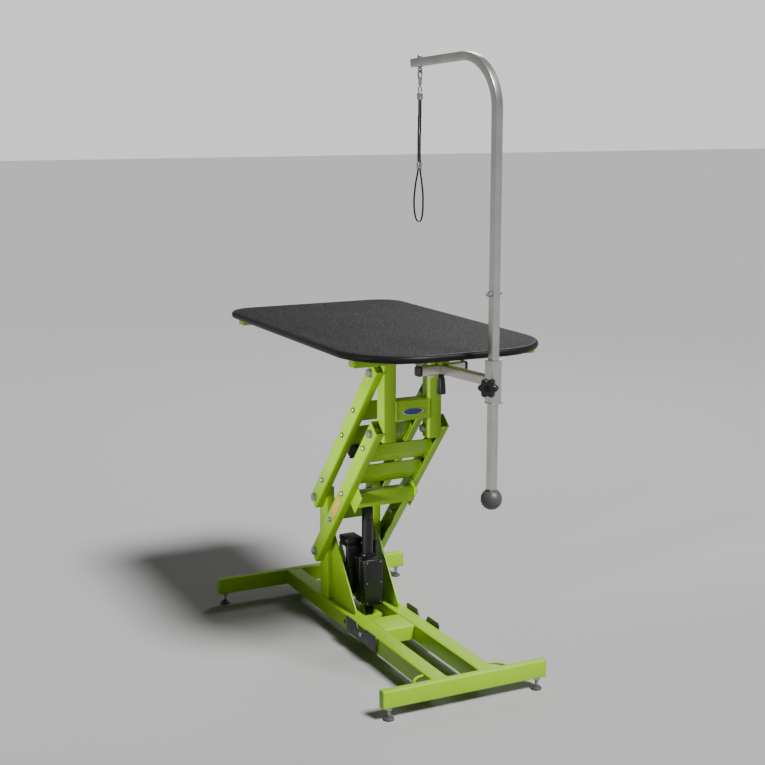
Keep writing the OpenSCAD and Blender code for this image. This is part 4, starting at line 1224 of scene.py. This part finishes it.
# ---- Clamp grip and star knob ----
# A tapered, fluted hand grip turns the clamp's screw. A six-lobed knob with a
# domed face presses its own screw against the arm.
grip = bmesh.new()
at_grip = Matrix.Translation((clamp_pivot.x, clamp_pivot.y, tee_z - tube_half))
add_lathe(grip, [(9 * mm, -58 * mm), (12 * mm, -57 * mm), (12.4 * mm, -54 * mm), (11.6 * mm, -40 * mm),
                 (9.9 * mm, -18 * mm), (9.3 * mm, -13 * mm), (7 * mm, -12 * mm)], at_grip, 96, 0.045, 12)
collar = [(7.4, -12.4), (8, -11.6), (8, -1.4), (7.4, -0.4)]
add_lathe(grip, [(r * mm, z * mm) for r, z in collar], at_grip, 36)
add_piece("fluted_grip", grip, black_moulding, "clamp_grip", "black_plastic", "clamp_grip")
grip_screw = bmesh.new()
clamp_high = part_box("clamp_grip")[1]
add_thread(grip_screw, 5 * mm, tee_z - tube_half - 1 * mm, clamp_high.z - 0.6 * mm,
           Matrix.Translation((clamp_pivot.x, clamp_pivot.y, 0)))
add_piece("clamp_screw", grip_screw, zinc, "clamp_grip", "zinc")
knob = bmesh.new()
rings = []
for share, z in ((0.80, 46.0), (0.93, 46.6), (1.0, 49), (1.0, 61), (0.95, 64), (0.84, 65.6), (0.55, 66.0)):
    ring = []
    for k in range(144):
        turn = 2 * math.pi * k / 144
        lobe = 26 - 5.6 * (0.5 - 0.5 * math.cos(6 * turn)) ** 1.5
        reach = lobe * share * mm
        ring.append(at_knob @ Vector((reach * math.cos(turn), reach * math.sin(turn), z * mm)))
    rings.append(ring)
loft(knob, rings)
add_lathe(knob, [(10 * mm, 30.4 * mm), (11 * mm, 31.4 * mm), (11.6 * mm, 46.4 * mm)], at_knob, 40)
add_lathe(knob, [(9 * mm, 65.4 * mm), (9 * mm, 65.8 * mm), (8.4 * mm, 66 * mm)], at_knob, 40)
add_piece("six_lobe_knob", knob, black_moulding, "star_knob", "black_plastic", "star_knob")
knob_screw = bmesh.new()
add_thread(knob_screw, 5 * mm, 16 * mm, 31 * mm, at_knob)
add_piece("knob_screw", knob_screw, zinc, "star_knob", "zinc")


# ---- Grooming arm ----
# One length of square satin tube with rounded corners, bent over at the top and
# sloping a little to its open end, where a thin plastic plug is pressed in.
upright_low, upright_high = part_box("arm_upright")
droop = math.radians(3.5)
bend_r = 135 * mm
arm_reach = 356 * mm
arm_mid_z = upright_high.z
at_bend = on_post @ Matrix.Translation((0, bend_r, arm_mid_z)) @ Matrix.Rotation(-droop, 4, "X")
tip_s = (arm_reach - bend_r) / math.cos(droop) - bend_r * math.tan(droop)


def arm_ring(half_wide, corner, station):
    kind, value = station
    ring = []
    for a, b in rounded_rect(2 * half_wide, 2 * half_wide, corner, 5):
        if kind == "post":
            ring.append(on_post @ Vector((a, b, value)))
        elif kind == "bend":
            r = bend_r - b
            ring.append(at_bend @ Vector((a, -r * math.sin(value), r * math.cos(value))))
        else:
            ring.append(at_bend @ Vector((a, value, bend_r - b)))
    return ring


quarter = math.pi / 2 + droop
stations = [("post", upright_low.z)] + [("post", arm_mid_z - 0.5 * mm)]
stations += [("bend", quarter * (1 - k / 28)) for k in range(29)] + [("reach", tip_s * 0.5), ("reach", tip_s)]
walls = [arm_ring(post_half, 2.6 * mm, station) for station in stations]
walls += [arm_ring(post_half - 1.5 * mm, 1.6 * mm, station) for station in reversed(stations)]
arm = bmesh.new()
loft(arm, walls, ring_closed=False)
add_piece("arm_tube", arm, steel, "grooming_arm", "satin_steel", "arm_upright", "arm_bend", "arm_reach")
plug = bmesh.new()
rings = []
for inset, along in ((2.0, -12), (1.7, -11), (1.7, -1.2), (2.4, -0.4)):
    rings.append(arm_ring(post_half - inset * mm, 1.4 * mm, ("reach", tip_s + along * mm)))
loft(plug, rings)
add_piece("arm_end_plug", plug, grey_moulding, "grooming_arm", "grey_plastic")
stop = bmesh.new()
stop_low, stop_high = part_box("arm_stop")
at_stop = on_post @ Matrix.Translation((0, 0, (stop_low.z + stop_high.z) / 2)) @ out_x
add_lathe(stop, [(3.2 * mm, -27 * mm), (4 * mm, -26 * mm), (4 * mm, -20.4 * mm), (7 * mm, -20 * mm),
                 (7 * mm, -12 * mm), (6.4 * mm, -11.3 * mm), (4 * mm, -11.2 * mm), (4 * mm, 11.2 * mm),
                 (6 * mm, 11.3 * mm), (6 * mm, 14.4 * mm), (5.6 * mm, 15 * mm), (4 * mm, 15 * mm),
                 (4 * mm, 22.4 * mm), (3.2 * mm, 23 * mm)], at_stop, 36)
add_piece("stop_pin", stop, zinc, "grooming_arm", "zinc", "arm_stop")
ball_low, ball_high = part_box("ball_foot")
ball_r = (ball_high.x - ball_low.x) / 2
ball_z = ball_low.z + ball_r
ball = bmesh.new()
profile = []
for k in range(1, 33):
    turn = math.pi * (-0.5 + 0.9 * k / 33)
    seam = 0.35 * mm if k == 18 else 0
    profile.append(((ball_r - seam) * math.cos(turn), ball_z + (ball_r - seam) * math.sin(turn)))
profile.append((15.6 * mm, ball_high.z - 0.6 * mm))
profile.append((12.2 * mm, ball_high.z - 0.2 * mm))
add_lathe(ball, profile, on_post, 72)
add_piece("ball_end", ball, grey_moulding, "grooming_arm", "grey_plastic", "ball_foot")


# ---- Eye bolt, snap hook and clips ----
# A threaded eye bolt with a domed nut holds a plated snap hook with a sprung gate
# and a swivel. A crimp joins the strap's ends, and a slider sets the neck loop.
at_eye = at_bend @ Matrix.Translation((0, tip_s - 28 * mm, bend_r))
eye = bmesh.new()
add_thread(eye, 4 * mm, -post_half - 7 * mm, -post_half + 1 * mm, at_eye, 1.2 * mm, 0.5 * mm)
add_lathe(eye, [(6.4 * mm, 11.4 * mm), (6.5 * mm, 12 * mm), (6.5 * mm, 15.6 * mm), (5.6 * mm, 17.6 * mm),
                (3.6 * mm, 18.9 * mm), (1.4 * mm, 19.3 * mm)], at_eye, 36)
add_lathe(eye, [(7.6 * mm, 11.1 * mm), (7.6 * mm, 11.9 * mm)], at_eye, 36)
add_lathe(eye, [(6.6 * mm, -12.6 * mm), (6.8 * mm, -12 * mm), (6.8 * mm, -11.2 * mm)], at_eye, 36)
ring = [at_eye @ Vector((6 * mm * math.sin(t), 0, -20 * mm + 6 * mm * math.cos(t)))
        for t in [2 * math.pi * k / 40 for k in range(41)]]
add_rod(eye, ring, 2 * mm)
add_piece("eye_and_nut", eye, zinc, "eye_bolt", "zinc", "eye_bolt")


def hook_point(x, y, z):
    return at_hook @ Vector((x * mm, y * mm, z * mm))


hook = bmesh.new()
bow = [(5.4, -20), (6.6, -16), (7.4, -11), (7.2, -5.6), (5.2, -1.4), (1.2, 0.3), (-3.2, -0.7), (-6.2, -3.8),
       (-7.2, -8.0), (-6.4, -10.6)]
add_rod(hook, [hook_point(0, y, z) for y, z in bow], 2.4 * mm)
gate = [(-6.9, -11.6), (-6.6, -15), (-5.2, -19.4), (-3.8, -21.6)]
add_rod(hook, [hook_point(0, y, z) for y, z in gate], 1.9 * mm)
add_rod(hook, [hook_point(x, -7.6, -14.6) for x in (-2.6, -1, 1, 2.6)], 1.1 * mm)
add_lathe(hook, [(3.4 * mm, -37 * mm), (4.6 * mm, -36 * mm), (5 * mm, -34 * mm), (5 * mm, -24 * mm),
                 (6.4 * mm, -21.6 * mm), (6.2 * mm, -19 * mm), (4.6 * mm, -17.4 * mm)], at_hook, 36)
add_lathe(hook, [(2.6 * mm, -42 * mm), (3 * mm, -41 * mm), (3 * mm, -36 * mm)], at_hook, 28)
link_loop = [hook_point(5.2 * math.sin(t), 0, -50 + 8.6 * math.cos(t)) for t in
             [2 * math.pi * k / 36 for k in range(37)]]
add_rod(hook, link_loop, 1.8 * mm)
add_piece("snap_hook_body", hook, zinc, "snap_hook", "zinc", "snap_hook")


def clip_shape(part):
    add_box(part, (-7.5 * mm, -4 * mm, -76 * mm), (7.5 * mm, 4 * mm, -58.6 * mm), 1.2 * mm, 2)
    for z in (-72.5, -67.5, -62.5):
        add_box(part, (-7.9 * mm, -4.4 * mm, (z - 0.8) * mm), (7.9 * mm, 4.4 * mm, (z + 0.8) * mm), 0.5 * mm)
    add_box(part, (-8.5 * mm, -4 * mm, -258 * mm), (5.5 * mm, 4 * mm, -242 * mm), 1.6 * mm, 3)
    add_box(part, (-7.2 * mm, -4.5 * mm, -253.5 * mm), (4.2 * mm, 4.5 * mm, -246.5 * mm), 0.8 * mm)


clips = bmesh.new()
transformed(clips, at_hook, clip_shape)
add_piece("strap_crimp_and_slider", clips, zinc, "snap_hook", "zinc")

# ---- Board finish ----
# The plywood board is the one part that stays as it is cut, under its rubber.
board = frame["nodes"]["top_board"]
wood = plywood()
for slot in board.material_slots:
    slot.material = wood
if not board.material_slots:
    board.data.materials.append(wood)

# ---- Floor and studio light ----
# A wide pale floor under a soft high key from the front. A narrow side light reaches
# the lift, a weak rim light comes from behind, and the backdrop is white.
floor_mesh = bpy.data.meshes.new("floor")
floor_mesh.from_pydata([(-40, -40, 0), (40, -40, 0), (40, 40, 0), (-40, 40, 0)], [], [(0, 1, 2, 3)])
floor = bpy.data.objects.new("floor", floor_mesh)
bpy.context.collection.objects.link(floor)
floor_paint = new_material("pale_floor", (0.38, 0.38, 0.38), 0.9)[0]
floor_mesh.materials.append(floor_paint)


def lamp(name, place, aim, size, power):
    data = bpy.data.lights.new(name, "AREA")
    data.shape = "DISK"
    data.size = size
    data.energy = power
    made = bpy.data.objects.new(name, data)
    made.location = place
    made.rotation_euler = (Vector(aim) - Vector(place)).to_track_quat("-Z", "Y").to_euler()
    bpy.context.collection.objects.link(made)


sun = bpy.data.lights.new("key", "SUN")
sun.energy = 6.2
sun.angle = 0.25
key = bpy.data.objects.new("key", sun)
key.rotation_euler = Vector((-0.35, 1.0, -1.35)).to_track_quat("-Z", "Y").to_euler()
bpy.context.collection.objects.link(key)
side = bpy.data.lights.new("side", "SPOT")
side.energy = 1000
side.spot_size = math.radians(14)
side.spot_blend = 0.5
side.shadow_soft_size = 0.25
beam = bpy.data.objects.new("side", side)
beam.location = (-3.5, -0.5, 1.1)
beam.rotation_euler = (Vector((-0.1, 0.08, 0.66)) - beam.location).to_track_quat("-Z", "Y").to_euler()
bpy.context.collection.objects.link(beam)
lamp("rim", (2.6, 3.2, 3.4), (0, 0, 0.9), 1.4, 45)
world = bpy.data.worlds.new("studio")
world.use_nodes = True
backdrop = world.node_tree.nodes["Background"]
backdrop.inputs["Color"].default_value = (1, 1, 1, 1)
rays = world.node_tree.nodes.new("ShaderNodeLightPath")
seen = world.node_tree.nodes.new("ShaderNodeMapRange")
seen.inputs["To Min"].default_value = 0.05
seen.inputs["To Max"].default_value = 1.0
shine = world.node_tree.nodes.new("ShaderNodeMath")
shine.operation = "MULTIPLY_ADD"
shine.inputs[1].default_value = 0.28
world.node_tree.links.new(rays.outputs["Is Camera Ray"], seen.inputs["Value"])
world.node_tree.links.new(rays.outputs["Is Glossy Ray"], shine.inputs[0])
world.node_tree.links.new(seen.outputs["Result"], shine.inputs[2])
world.node_tree.links.new(shine.outputs[0], backdrop.inputs["Strength"])
bpy.context.scene.world = world
